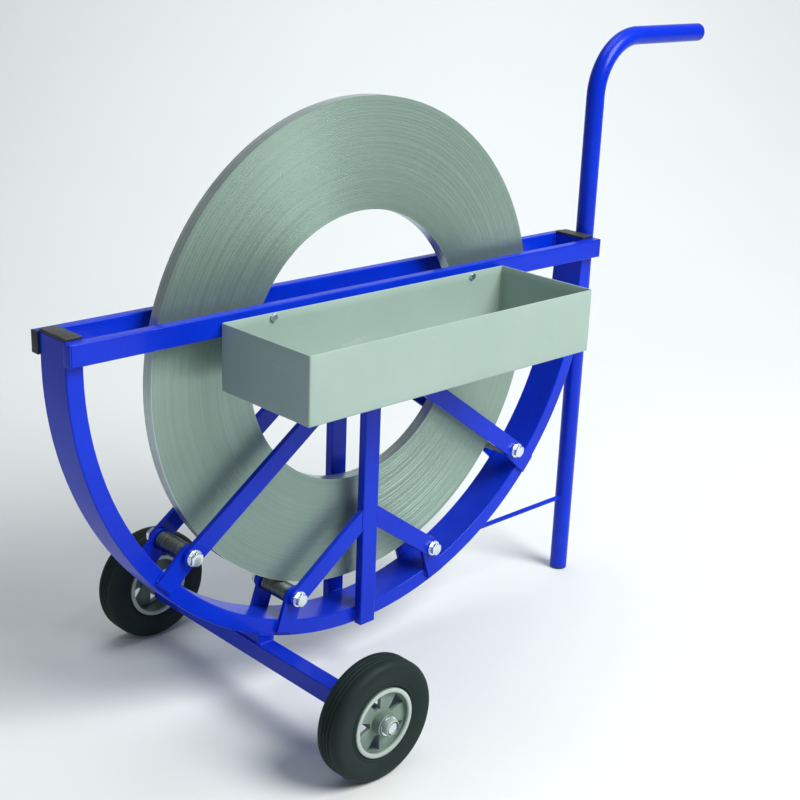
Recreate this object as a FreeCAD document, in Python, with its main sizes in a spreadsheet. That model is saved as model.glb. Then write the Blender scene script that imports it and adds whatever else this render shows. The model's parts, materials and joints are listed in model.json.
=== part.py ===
import FreeCAD, Part
import os
import Sketcher

# A wheeled cart that carries one coil of steel strapping between two rails.
# +X points to the handle end, -Y to the tray side, +Z up. Every piece is first laid
# out from the floor point below the bow's centre; standOnMiddle then moves them all
# so that the origin is on the floor at the middle of the cart's whole length.

doc = FreeCAD.newDocument("strapping_cart")
V = FreeCAD.Vector

SIZES = [
    ("bow_radius", 500, "outer radius of the rolled bow"),
    ("bow_depth", 25, "radial depth of the bow's rectangular tube"),
    ("bow_width", 60, "width of the bow's tube, along Y"),
    ("bow_wall", 2.5, "wall of the bow's tube"),
    ("saddle_gap", 6.25, "axle tube's top to the bow, at the tube's inner edge"),
    ("rail_rise", 42, "bow centre to the top of the rails"),
    ("rail_height", 30, "height of a rail's tube"),
    ("rail_depth", 15, "depth of a rail's tube, along Y"),
    ("tube_wall", 1.5, "wall of rails and posts"),
    ("corner_radius", 2, "outer corner radius of square and rectangular tube"),
    ("post_width", 30, "width of a post's tube, along X"),
    ("arm_width", 28, "width of a brace arm"),
    ("arm_thickness", 8, "thickness of a brace arm"),
    ("bracket_width", 32, "width of a roller bracket"),
    ("bracket_thickness", 6, "thickness of a roller bracket"),
    ("bracket_overlap", 18, "radial overlap of a bracket on the bow's side"),
    ("upper_apex_drop", 56, "bow centre down to where the upper arms' axes meet"),
    ("lower_apex_rise", 187, "bow bottom up to where the lower arms' axes meet"),
    ("roller_inset", 38.5, "bow's inner face to a roller's axis"),
    ("upper_roller_x", 325, "middle of the cart to an upper roller's axis"),
    ("lower_roller_x", 139, "middle of the cart to a lower roller's axis"),
    ("roller_radius", 14, "outer radius of a roller"),
    ("roller_wall", 3, "wall of a roller's tube"),
    ("bush_length", 12, "length of a roller's end bush"),
    ("bolt_radius", 6, "shank radius of a roller bolt"),
    ("bolt_flats", 18, "width across flats of the bolt head and nut"),
    ("bolt_head", 7.5, "height of the bolt head"),
    ("nut_height", 10, "height of the roller nut"),
    ("bolt_overrun", 4, "bolt end standing out of its nut"),
    ("washer_radius", 12, "outer radius of a roller washer"),
    ("washer_thickness", 2.5, "thickness of a roller washer"),
    ("spacer_radius", 10, "outer radius of a roller spacer"),
    ("spacer_thickness", 1.7, "thickness of a roller spacer"),
    ("run_clearance", 0.06, "radial clearance of a bush on its shaft"),
    ("hole_clearance", 0.4, "radial clearance of a bolt hole"),
    ("end_clearance", 0.3, "axial or rolling gap beside a moving part"),
    ("coil_radius", 365, "outer radius of the strap coil"),
    ("coil_bore", 203.2, "inner radius of the strap coil"),
    ("coil_width", 19, "width of the strap"),
    ("handle_radius", 15, "outer radius of the leg and handle tube"),
    ("handle_wall", 2, "wall of the leg and handle tube"),
    ("handle_height", 942, "floor to the handle's axis"),
    ("handle_reach", 266, "leg axis to the end of the handle"),
    ("handle_bend", 95, "centreline radius of the handle's bend"),
    ("foot_height", 3, "thickness of the leg's foot below the tube"),
    ("plug_depth", 14, "depth of a plug in its tube"),
    ("plug_fit", 0.2, "gap between a plug and its tube's wall"),
    ("cap_height", 4, "height of a bow cap above the bow"),
    ("brace_radius", 4, "radius of the leg brace rod"),
    ("brace_leg_z", 140, "height of the leg brace at the leg"),
    ("brace_bow_z", 140, "height of the leg brace at the bow"),
    ("tray_length", 540, "length of the tray, along X"),
    ("tray_depth", 180, "depth of the tray, along Y"),
    ("tray_height", 94, "height of the tray"),
    ("tray_wall", 2, "thickness of the tray's sheet"),
    ("tray_corner", 2.5, "outer bend radius of the tray's sheet"),
    ("tray_shift", -8, "middle of the cart to the middle of the tray"),
    ("tray_drop", 10, "rail top to the tray's rim"),
    ("tray_screw_spacing", 385, "distance between the tray's two screws"),
    ("tray_screw_drop", 16.5, "rail top to the tray screws' axis"),
    ("screw_radius", 3, "shank radius of a tray screw"),
    ("screw_flats", 10, "width across flats of a tray screw and nut"),
    ("screw_head", 4, "height of a tray screw's head"),
    ("screw_nut", 5, "height of a tray screw's nut"),
    ("screw_overrun", 2, "screw end standing out of its nut"),
    ("wheel_radius", 89, "outer radius of a wheel"),
    ("tyre_width", 44, "width of a tyre"),
    ("tyre_shoulder", 11, "shoulder radius of a tyre"),
    ("rim_radius", 51, "outer radius of a wheel's rim"),
    ("rim_wall", 6, "wall of the rim's outer ring"),
    ("rim_width", 40, "width of the rim's outer ring"),
    ("web_out", 13, "wheel middle to the outer face of the rim's web"),
    ("web_thickness", 6, "thickness of the rim's web"),
    ("window_margin", 3, "web left at both ends of a rim window"),
    ("window_half_in", 4, "half width of a rim window beside the hub"),
    ("window_half_out", 12, "half width of a rim window beside the ring"),
    ("window_count", 5, "number of windows in a rim"),
    ("hub_radius", 17, "outer radius of a wheel hub"),
    ("hub_bore", 12, "bore radius of a wheel hub"),
    ("hub_width", 54, "width of a wheel hub"),
    ("wheel_bush_length", 16, "length of a wheel's end bush"),
    ("wheel_y", 266, "middle of the cart to the middle of a wheel"),
    ("axle_x", 188, "middle of the cart back to the wheel axle"),
    ("axle_size", 28, "side of the axle's square tube"),
    ("axle_wall", 2.5, "wall of the axle's square tube"),
    ("shaft_radius", 8, "radius of the wheel shaft"),
    ("axle_washer_radius", 14, "outer radius of a wheel washer"),
    ("axle_washer_thickness", 2, "thickness of a wheel washer"),
    ("retainer_radius", 12, "outer radius of a shaft retainer"),
    ("retainer_length", 9, "length of a shaft retainer"),
    ("retainer_round", 3, "edge radius of a shaft retainer"),
]

# Every value here follows from the driving sizes above.
PLACES = [
    ("axle_top", "size.wheel_radius + size.axle_size / 2", "height of the axle tube's top"),
    ("axle_edge", "size.axle_x - size.axle_size / 2", "middle to the axle tube's inner edge"),
    ("bow_sag", "sqrt(size.bow_radius^2 - axle_edge^2)", "bow centre down to the bow there"),
    ("bow_z", "axle_top + size.saddle_gap + bow_sag", "height of the bow's centre"),
    ("bow_low", "bow_z - size.bow_radius", "height of the bow's lowest point"),
    ("bow_inner", "size.bow_radius - size.bow_depth", "inner radius of the bow"),
    ("side_y", "size.bow_width / 2", "middle of the cart to the bow's side"),
    ("face_y", "side_y + size.rail_depth", "middle of the cart to a rail's outer face"),
    ("arm_in_y", "side_y + size.bracket_thickness", "middle to an arm's inner face"),
    ("arm_out_y", "arm_in_y + size.arm_thickness", "middle to an arm's outer face"),
    ("rail_top", "bow_z + size.rail_rise", "height of the rails' top"),
    ("rail_low", "rail_top - size.rail_height", "height of the rails' underside"),
    ("ring_radius", "bow_inner - size.roller_inset", "circle through the roller axes"),
    ("upper_z", "bow_z - sqrt(ring_radius^2 - size.upper_roller_x^2)", "upper roller axis"),
    ("lower_z", "bow_z - sqrt(ring_radius^2 - size.lower_roller_x^2)", "lower roller axis"),
    ("upper_apex", "bow_z - size.upper_apex_drop", "where the upper arms meet"),
    ("lower_apex", "bow_low + size.lower_apex_rise", "where the lower arms meet"),
    ("nest", "size.coil_radius + size.roller_radius + size.end_clearance", "coil to roller axis"),
    ("coil_z", "lower_z + sqrt(nest^2 - size.lower_roller_x^2)", "height of the coil's centre"),
    ("roller_length", "size.bow_width - 2 * (size.spacer_thickness + size.end_clearance)", ""),
    ("roller_bore", "size.roller_radius - size.roller_wall", "inner radius of a roller"),
    ("bolt_seat", "arm_out_y + size.washer_thickness", "middle to the bolt head's seat"),
    ("bolt_length", "2 * bolt_seat + size.nut_height + size.bolt_overrun", "under the head"),
    ("leg_x", "size.bow_radius + size.handle_radius", "middle of the cart to the leg's axis"),
    ("tray_top", "rail_top - size.tray_drop", "height of the tray's rim"),
    ("tray_low", "tray_top - size.tray_height", "height of the tray's underside"),
    ("screw_z", "rail_top - size.tray_screw_drop", "height of the tray's screws"),
    ("hub_out", "size.wheel_y + size.hub_width / 2", "middle to a hub's outer end"),
    ("hub_in", "size.wheel_y - size.hub_width / 2", "middle to a hub's inner end"),
    ("washer_gap", "size.axle_washer_thickness + size.end_clearance", "washer and its gap"),
    ("axle_half", "hub_in - washer_gap", "half the axle tube's length"),
    ("shaft_half", "hub_out + washer_gap + size.retainer_length - 2", "half the shaft's length"),
    ("ring_in", "size.rim_radius - size.rim_wall", "inner radius of the rim's outer ring"),
    ("middle_x", "(leg_x + size.handle_reach - size.bow_radius) / 2", "middle of the length"),
    ("brace_bow_x", "sqrt(size.bow_radius^2 - (bow_z - size.brace_bow_z)^2)", "brace on bow"),
    ("brace_run", "leg_x - brace_bow_x", "horizontal run of the brace"),
    ("brace_climb", "size.brace_leg_z - size.brace_bow_z", "rise of the brace"),
    ("brace_length", "sqrt(brace_run^2 + brace_climb^2)", "length of the brace's axis"),
    ("brace_tilt", "atan2(brace_climb; brace_run) / 1deg", "slope of the brace"),
]


def fillSheet(name, rows, prefix):
    sheet = doc.addObject("Spreadsheet::Sheet", name)
    for row, (alias, content, note) in enumerate(rows, start=1):
        sheet.set(f"A{row}", alias)
        sheet.set(f"B{row}", f"{prefix}{content}")
        sheet.setAlias(f"B{row}", alias)
        sheet.set(f"C{row}", note)
    doc.recompute()
    return sheet


size = fillSheet("size", SIZES, "")
place = fillSheet("place", PLACES, "=")
nodes = []
alongX = {}


def value(expression):
    result = place.evalExpression(expression)
    return float(getattr(result, "Value", result))


def keep(feature, label):
    feature.Label = label
    nodes.append(feature)
    return feature


def putAt(feature, x="0", y="0", z="0", turn=None):
    """Places a feature by expressions; turn is (axis, degrees or expression)."""
    if turn:
        axis, angle = turn
        feature.Placement = FreeCAD.Placement(V(), FreeCAD.Rotation(axis, value(str(angle))))
        if isinstance(angle, str):
            feature.setExpression("Placement.Rotation.Angle", angle)
    for coordinate, expression in zip("xyz", (x, y, z)):
        feature.setExpression(f"Placement.Base.{coordinate}", expression)
    alongX[feature.Name] = x
    return feature


def standOnMiddle():
    for node in nodes:
        start = alongX.get(node.Name, "0")
        node.setExpression("Placement.Base.x", f"{start} - place.middle_x")


ALONG_Y = (V(1, 0, 0), -90)
HALF_TURN = (V(0, 0, 1), 180)
LENGTHWISE = (V(0, 1, 0), 90)


# Sketch helpers

def originFeature(body, role):
    return next(item for item in body.Origin.OriginFeatures if item.Role == role)


def newSketch(body, plane):
    sketch = body.newObject("Sketcher::SketchObject", "Sketch")
    sketch.AttachmentSupport = [(originFeature(body, plane), "")]
    sketch.MapMode = "FlatFace"
    return sketch


def constrain(sketch, expression, *definition):
    index = sketch.addConstraint(Sketcher.Constraint(*definition))
    name = f"size{index}"
    sketch.renameConstraint(index, name)
    sketch.setExpression(f"Constraints.{name}", expression)


def pin(sketch, geometry, end, x, y):
    """Fixes a point of the sketch at two expressions from its origin."""
    point = sketch.getPoint(geometry, end)
    for kind, expression, axis, at in (("DistanceX", x, -2, point.x), ("DistanceY", y, -1, point.y)):
        if expression == "0":
            sketch.addConstraint(Sketcher.Constraint("PointOnObject", geometry, end, axis))
        else:
            constrain(sketch, expression, kind, -1, 1, geometry, end, at)


def outline(sketch, corners):
    points = [V(value(x), value(y), 0) for x, y in corners]
    first = sketch.GeometryCount
    count = len(points)
    for start, end in zip(points, points[1:] + points[:1]):
        sketch.addGeometry(Part.LineSegment(start, end), False)
    for index in range(count):
        follower = first + (index + 1) % count
        sketch.addConstraint(Sketcher.Constraint("Coincident", first + index, 2, follower, 1))
    for index, (x, y) in enumerate(corners):
        pin(sketch, first + index, 1, x, y)


def rectangle(sketch, width, height):
    corners = [(-1, -1), (1, -1), (1, 1), (-1, 1)]
    outline(sketch, [(f"{x} * ({width}) / 2", f"{y} * ({height}) / 2") for x, y in corners])


def circle(sketch, radius, x="0", y="0"):
    centre = V(value(x), value(y), 0)
    index = sketch.addGeometry(Part.Circle(centre, V(0, 0, 1), value(radius)), False)
    constrain(sketch, radius, "Radius", index, value(radius))
    pin(sketch, index, 3, x, y)
    return index


def extrude(body, kind, sketch, length=None, bothWays=False, reverse=False):
    feature = body.newObject(f"PartDesign::{kind}", kind)
    feature.Profile = sketch
    feature.Midplane = bothWays
    feature.Reversed = reverse
    if length:
        feature.setExpression("Length", length)
    else:
        feature.Type = "ThroughAll"
    sketch.Visibility = False
    doc.recompute()
    return feature


def roundEdges(body, base, radius, chosen):
    names = [f"Edge{i}" for i, edge in enumerate(base.Shape.Edges, start=1) if chosen(edge)]
    fillet = body.newObject("PartDesign::Fillet", "Fillet")
    fillet.Base = (base, names)
    fillet.setExpression("Radius", radius)
    doc.recompute()
    return fillet


def newBody(label):
    return keep(doc.addObject("PartDesign::Body", label), label)


# Stock pieces

def boxTube(label, width, height, length, wall):
    """Rectangular tube along local Z, starting at the local origin."""
    body = newBody(label)
    sketch = newSketch(body, "XY_Plane")
    rectangle(sketch, width, height)
    rectangle(sketch, f"{width} - 2 * {wall}", f"{height} - 2 * {wall}")
    tube = extrude(body, "Pad", sketch, length)
    half = value(width) / 2

    def outerCorner(edge):
        start, end = (vertex.Point for vertex in edge.Vertexes)
        return abs(start.z - end.z) > 1 and abs(abs(start.x) - half) < 0.01

    roundEdges(body, tube, "size.corner_radius", outerCorner)
    return body


def cylinder(name, radius, length):
    shape = doc.addObject("Part::Cylinder", name)
    shape.setExpression("Radius", radius)
    shape.setExpression("Height", length)
    return shape


def block(name, length, width, height):
    shape = doc.addObject("Part::Box", name)
    shape.setExpression("Length", length)
    shape.setExpression("Width", width)
    shape.setExpression("Height", height)
    return shape


def hexagon(name, flats, height):
    shape = doc.addObject("Part::Prism", name)
    shape.Polygon = 6
    shape.setExpression("Circumradius", f"{flats} / sqrt(3)")
    shape.setExpression("Height", height)
    return shape


def boolean(kind, name, base, tool):
    feature = doc.addObject(f"Part::{kind}", name)
    feature.Base = base
    feature.Tool = tool
    return feature


def ring(name, radius, bore, length):
    outer = cylinder(f"{name}_outer", radius, length)
    inner = cylinder(f"{name}_bore", bore, length)
    return boolean("Cut", name, outer, inner)


def hexBolt(name, flats, head, radius, length):
    """Head at the local origin, shank along local Z."""
    crown = hexagon(f"{name}_head", flats, head)
    shank = cylinder(f"{name}_shank", radius, f"{head} + {length}")
    return boolean("Fuse", name, crown, shank)


def hexNut(name, flats, radius, height):
    return boolean("Cut", name, hexagon(f"{name}_hex", flats, height),
                   cylinder(f"{name}_thread", radius, height))


def group(label, members):
    compound = doc.addObject("Part::Compound", label)
    compound.Links = members
    return keep(compound, label)


# Frame

def uSketch(body, outer, inner, rise):
    """Half ring below the origin with a straight leg up at each end."""
    sketch = newSketch(body, "XZ_Plane")
    far, near, top = value(outer), value(inner), value(rise)
    half = Part.ArcOfCircle
    pi = 3.141592653589793
    arcs = [Part.Circle(V(), V(0, 0, 1), far), Part.Circle(V(), V(0, 0, 1), near)]
    sketch.addGeometry([half(arcs[0], pi, 2 * pi), half(arcs[1], pi, 2 * pi)], False)
    path = [[(far, 0), (far, top), (near, top), (near, 0)],
            [(-near, 0), (-near, top), (-far, top), (-far, 0)]]
    for leg in path:
        for (x0, y0), (x1, y1) in zip(leg, leg[1:]):
            sketch.addGeometry(Part.LineSegment(V(x0, y0, 0), V(x1, y1, 0)), False)
    joints = [(0, 2, 2, 1), (2, 2, 3, 1), (3, 2, 4, 1), (4, 2, 1, 2),
              (1, 1, 5, 1), (5, 2, 6, 1), (6, 2, 7, 1), (7, 2, 0, 1)]
    for joint in joints:
        sketch.addConstraint(Sketcher.Constraint("Coincident", *joint))
    for arc in (0, 1):
        sketch.addConstraint(Sketcher.Constraint("Coincident", arc, 3, -1, 1))
        for end in (1, 2):
            sketch.addConstraint(Sketcher.Constraint("PointOnObject", arc, end, -1))
    for upright in (2, 4, 5, 7):
        sketch.addConstraint(Sketcher.Constraint("Vertical", upright))
    for level in (3, 6):
        sketch.addConstraint(Sketcher.Constraint("Horizontal", level))
        constrain(sketch, rise, "DistanceY", -1, 1, level, 1, top)
    constrain(sketch, outer, "Radius", 0, far)
    constrain(sketch, inner, "Radius", 1, near)
    return sketch


def makeBow():
    body = newBody("bow")
    shell = uSketch(body, "size.bow_radius", "place.bow_inner", "size.rail_rise")
    solid = extrude(body, "Pad", shell, "size.bow_width", bothWays=True)
    sides = value("place.side_y")

    def longCorner(edge):
        ends = [vertex.Point for vertex in edge.Vertexes]
        flat = all(abs(abs(point.y) - sides) < 0.01 for point in ends)
        crosses = ends[0].y * ends[-1].y < 0
        return flat and not crosses and edge.Length > value("size.bow_depth") + 1

    rounded = roundEdges(body, solid, "size.corner_radius", longCorner)
    cavity = uSketch(body, "size.bow_radius - size.bow_wall",
                     "place.bow_inner + size.bow_wall", "size.rail_rise")
    hollow = extrude(body, "Pocket", cavity, "size.bow_width - 2 * size.bow_wall", bothWays=True)
    assert hollow.Shape.Volume < rounded.Shape.Volume / 2
    putAt(body, z="place.bow_z")


def makeBowCap(label, side):
    """Plastic cap: a flange over the bow's end and a plug inside it."""
    flange = block(f"{label}_flange", "size.bow_depth", "size.bow_width", "size.cap_height")
    middle = f"{side} * (size.bow_radius - size.bow_depth / 2)"
    putAt(flange, f"{middle} - size.bow_depth / 2", "-place.side_y", "place.rail_top")
    inset = "size.bow_wall + size.plug_fit"
    depth = f"size.bow_depth - 2 * ({inset})"
    width = f"size.bow_width - 2 * ({inset})"
    plug = block(f"{label}_plug", depth, width, "size.plug_depth")
    putAt(plug, f"{middle} - ({depth}) / 2", f"-({width}) / 2", "place.rail_top - size.plug_depth")
    keep(boolean("Fuse", label, flange, plug), label)


def makeRails():
    for label, side in (("front_rail", -1), ("back_rail", 1)):
        rail = boxTube(label, "size.rail_height", "size.rail_depth",
                       "2 * size.bow_radius", "size.tube_wall")
        middle = f"{side} * (place.side_y + size.rail_depth / 2)"
        putAt(rail, "-size.bow_radius", middle,
              "place.rail_top - size.rail_height / 2", LENGTHWISE)
        if side < 0:
            drillRail(rail)


def drillRail(rail):
    """Two cross holes for the tray's screws."""
    sketch = newSketch(rail, "XZ_Plane")
    for shift in ("-size.tray_screw_spacing / 2", "size.tray_screw_spacing / 2"):
        along = f"size.bow_radius + {shift}"
        down = "size.tray_screw_drop - size.rail_height / 2"
        circle(sketch, "size.screw_radius + size.hole_clearance", down, along)
    before = rail.Shape.Volume
    extrude(rail, "Pocket", sketch, "2 * size.rail_depth", bothWays=True)
    assert rail.Shape.Volume < before


def makeRailPlugs():
    plugs = []
    inset = "size.tube_wall + size.plug_fit"
    for end in (-1, 1):
        for side in (-1, 1):
            name = f"rail_plug_{len(plugs)}"
            cover = block(f"{name}_cover", "size.foot_height", "size.rail_depth", "size.rail_height")
            low = "place.rail_low"
            start = "-size.bow_radius - size.foot_height" if end < 0 else "size.bow_radius"
            face = "-place.face_y" if side < 0 else "place.side_y"
            putAt(cover, start, face, low)
            body = block(f"{name}_body", "size.plug_depth",
                         f"size.rail_depth - 2 * ({inset})", f"size.rail_height - 2 * ({inset})")
            start = "-size.bow_radius" if end < 0 else "size.bow_radius - size.plug_depth"
            putAt(body, start, f"{face} + {inset}", f"{low} + {inset}")
            plugs.append(boolean("Fuse", name, cover, body))
    group("rail_end_plugs", plugs)


def makePosts():
    """Upright tubes on the bow's sides, from its lowest point to the rails."""
    for label, side in (("front_post", -1), ("back_post", 1)):
        post = boxTube(label, "size.post_width", "size.rail_depth",
                       "place.rail_low - place.bow_low", "size.tube_wall")
        putAt(post, "0", f"{side} * (place.side_y + size.rail_depth / 2)", "place.bow_low")


def barSketch(body, boltX, boltZ, aim, width, finish):
    """A flat bar with a round end about the bolt hole; aim is a point on its axis.

    finish "post" ends it on the post's side, "bow" ends it square on the bow's side.
    """
    sketch = newSketch(body, "XZ_Plane")
    bolt = V(value(boltX), value(boltZ), 0)
    toward = V(0, value(aim), 0) - bolt
    toward.normalize()
    if finish == "bow":
        toward = toward * -1
    across = V(-toward.y, toward.x, 0)
    half = value(width) / 2
    if finish == "post":
        reach = (bolt.x - value("size.post_width / 2")) / -toward.x
        slope = across.x / toward.x * half
        lengths = (reach - slope, reach + slope)
    else:
        lengths = (value("size.roller_inset + size.bracket_overlap"),) * 2
    starts = [bolt + across * half, bolt - across * half]
    ends = [starts[0] + toward * lengths[0], starts[1] + toward * lengths[1]]
    back = toward * -1
    arc = Part.Arc(starts[0], bolt + back * half, starts[1])
    sketch.addGeometry(arc, False)
    sketch.addGeometry(Part.LineSegment(starts[0], ends[0]), False)
    sketch.addGeometry(Part.LineSegment(starts[1], ends[1]), False)
    sketch.addGeometry(Part.LineSegment(ends[0], ends[1]), False)
    axis = sketch.addGeometry(Part.LineSegment(bolt, V(0, value(aim), 0)), True)
    rounded = sketch.Geometry[0]
    first, second = (1, 2) if rounded.StartPoint.distanceToPoint(starts[0]) < 0.01 else (2, 1)
    rules = [("Tangent", 0, first, 1, 1), ("Tangent", 0, second, 2, 1),
             ("Coincident", 1, 2, 3, 1), ("Coincident", 2, 2, 3, 2),
             ("Coincident", axis, 1, 0, 3), ("PointOnObject", axis, 2, -2),
             ("Parallel", axis, 1)]
    for rule in rules:
        sketch.addConstraint(Sketcher.Constraint(*rule))
    pin(sketch, 0, 3, boltX, boltZ)
    constrain(sketch, f"({width}) / 2", "Radius", 0, half)
    constrain(sketch, aim, "DistanceY", -1, 1, axis, 2, value(aim))
    if finish == "post":
        sketch.addConstraint(Sketcher.Constraint("Vertical", 3))
        constrain(sketch, "size.post_width / 2", "DistanceX", -1, 1, 3, 1, ends[0].x)
    else:
        sketch.addConstraint(Sketcher.Constraint("Perpendicular", 1, 3))
        constrain(sketch, "size.roller_inset + size.bracket_overlap",
                  "Distance", 1, 1, 1, 2, lengths[0])
    circle(sketch, "size.bolt_radius + size.hole_clearance", boltX, boltZ)
    return sketch


def makeBar(label, level, side, face, kind):
    """One arm or bracket; side is left or right, face is front or back."""
    body = newBody(label)
    boltX, boltZ = f"size.{level}_roller_x", f"place.{level}_z"
    if kind == "arm":
        sketch = barSketch(body, boltX, boltZ, f"place.{level}_apex", "size.arm_width", "post")
        thickness, inner, outer = "size.arm_thickness", "place.arm_in_y", "place.arm_out_y"
    else:
        sketch = barSketch(body, boltX, boltZ, "place.bow_z", "size.bracket_width", "bow")
        thickness, inner, outer = "size.bracket_thickness", "place.side_y", "place.arm_in_y"
    extrude(body, "Pad", sketch, thickness)
    # the plate grows to -Y, or to +Y once the body is turned round for the left side
    offsets = {("right", "front"): f"-{inner}", ("right", "back"): outer,
               ("left", "front"): f"-{outer}", ("left", "back"): inner}
    putAt(body, y=offsets[side, face], turn=HALF_TURN if side == "left" else None)


def makeBars():
    for kind in ("arm", "bracket"):
        for level in ("upper", "lower"):
            for side in ("left", "right"):
                for face in ("front", "back"):
                    makeBar(f"{level}_{side}_{face}_{kind}", level, side, face, kind)


def makeHandle():
    """Leg and handle: one round tube, upright, bent over and run out level."""
    body = newBody("handle_tube")
    path = newSketch(body, "XZ_Plane")
    bend, foot = value("size.handle_bend"), value("size.foot_height")
    height, reach = value("size.handle_height"), value("size.handle_reach")
    turn = V(bend, height - bend, 0)
    corner = 0.7071067811865476 * bend
    middle = V(turn.x - corner, turn.y + corner, 0)
    path.addGeometry(Part.LineSegment(V(0, foot, 0), V(0, height - bend, 0)), False)
    path.addGeometry(Part.Arc(V(bend, height, 0), middle, V(0, height - bend, 0)), False)
    path.addGeometry(Part.LineSegment(V(bend, height, 0), V(reach, height, 0)), False)
    arc = path.Geometry[1]
    low, high = (1, 2) if arc.StartPoint.y < arc.EndPoint.y else (2, 1)
    for rule in [("PointOnObject", 0, 1, -2), ("Vertical", 0), ("Horizontal", 2),
                 ("Tangent", 0, 2, 1, low), ("Tangent", 2, 1, 1, high)]:
        path.addConstraint(Sketcher.Constraint(*rule))
    constrain(path, "size.foot_height", "DistanceY", -1, 1, 0, 1, foot)
    constrain(path, "size.handle_bend", "Radius", 1, bend)
    constrain(path, "size.handle_height", "DistanceY", -1, 1, 2, 2, height)
    constrain(path, "size.handle_reach", "DistanceX", -1, 1, 2, 2, reach)
    section = newSketch(body, "XY_Plane")
    section.AttachmentOffset = FreeCAD.Placement(V(0, 0, foot), FreeCAD.Rotation())
    section.setExpression("AttachmentOffset.Base.z", "size.foot_height")
    circle(section, "size.handle_radius")
    circle(section, "size.handle_radius - size.handle_wall")
    pipe = body.newObject("PartDesign::AdditivePipe", "Pipe")
    pipe.Profile = section
    pipe.Spine = path
    doc.recompute()
    putAt(body, x="place.leg_x")


def makeHandlePlugs():
    bore = "size.handle_radius - size.handle_wall - size.plug_fit"
    cover = cylinder("leg_foot_pad", "size.handle_radius", "size.foot_height")
    stem = cylinder("leg_foot_stem", bore, "size.foot_height + size.plug_depth")
    foot = keep(boolean("Fuse", "leg_foot", cover, stem), "leg_foot")
    putAt(foot, x="place.leg_x")
    lid = cylinder("handle_end_lid", "size.handle_radius", "size.foot_height")
    stem = cylinder("handle_end_stem", bore, "size.foot_height + size.plug_depth")
    plug = keep(boolean("Fuse", "handle_end_plug", lid, stem), "handle_end_plug")
    putAt(plug, "place.leg_x + size.handle_reach + size.foot_height", "0",
          "size.handle_height", (V(0, 1, 0), -90))


def makeBrace():
    """Rod from the bow's underside up to the leg, trimmed to both."""
    rod = cylinder("brace_rod", "size.brace_radius", "place.brace_length")
    putAt(rod, "place.brace_bow_x", "0", "size.brace_bow_z", (V(0, 1, 0), "90 - place.brace_tilt"))
    drum = cylinder("brace_bow_trim", "size.bow_radius", "size.bow_width")
    putAt(drum, "0", "-place.side_y", "place.bow_z", ALONG_Y)
    leg = cylinder("brace_leg_trim", "size.handle_radius", "size.handle_height / 2")
    putAt(leg, x="place.leg_x")
    trimmed = boolean("Cut", "brace_trim", rod, drum)
    keep(boolean("Cut", "leg_brace", trimmed, leg), "leg_brace")


# Rollers and their hardware

AXES = [("upper_left", -1, "upper"), ("upper_right", 1, "upper"),
        ("lower_left", -1, "lower"), ("lower_right", 1, "lower")]


def onAxis(feature, side, level, y):
    return putAt(feature, f"{side} * size.{level}_roller_x", y, f"place.{level}_z", ALONG_Y)


def makeRollers():
    half = "place.roller_length / 2"
    for name, side, level in AXES:
        tube = ring(f"{name}_roller", "size.roller_radius", "place.roller_bore",
                    "place.roller_length")
        keep(onAxis(tube, side, level, f"-{half}"), f"{name}_roller")
        bushes = []
        for end, start in (("front", f"-{half}"), ("back", f"{half} - size.bush_length")):
            bush = ring(f"{name}_{end}_bush", "place.roller_bore",
                        "size.bolt_radius + size.run_clearance", "size.bush_length")
            bushes.append(onAxis(bush, side, level, start))
        group(f"{name}_roller_bushes", bushes)


def makeRollerHardware():
    bolts, nuts, washers, spacers = [], [], [], []
    for name, side, level in AXES:
        bolt = hexBolt(f"{name}_bolt", "size.bolt_flats", "size.bolt_head",
                       "size.bolt_radius", "place.bolt_length")
        bolts.append(onAxis(bolt, side, level, "-place.bolt_seat - size.bolt_head"))
        nut = hexNut(f"{name}_nut", "size.bolt_flats", "size.bolt_radius", "size.nut_height")
        nuts.append(onAxis(nut, side, level, "place.bolt_seat"))
        for end, start in (("front", "-place.bolt_seat"), ("back", "place.arm_out_y")):
            washer = ring(f"{name}_{end}_washer", "size.washer_radius",
                          "size.bolt_radius + size.hole_clearance", "size.washer_thickness")
            washers.append(onAxis(washer, side, level, start))
        for end, start in (("front", "-place.side_y"),
                           ("back", "place.side_y - size.spacer_thickness")):
            spacer = ring(f"{name}_{end}_spacer", "size.spacer_radius",
                          "size.bolt_radius + size.hole_clearance", "size.spacer_thickness")
            spacers.append(onAxis(spacer, side, level, start))
    group("roller_bolts", bolts)
    group("roller_nuts", nuts)
    group("roller_washers", washers)
    group("roller_spacers", spacers)


def makeCoil():
    coil = ring("strap_coil", "size.coil_radius", "size.coil_bore", "size.coil_width")
    keep(putAt(coil, "0", "-size.coil_width / 2", "place.coil_z", ALONG_Y), "strap_coil")


# Tray

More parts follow.
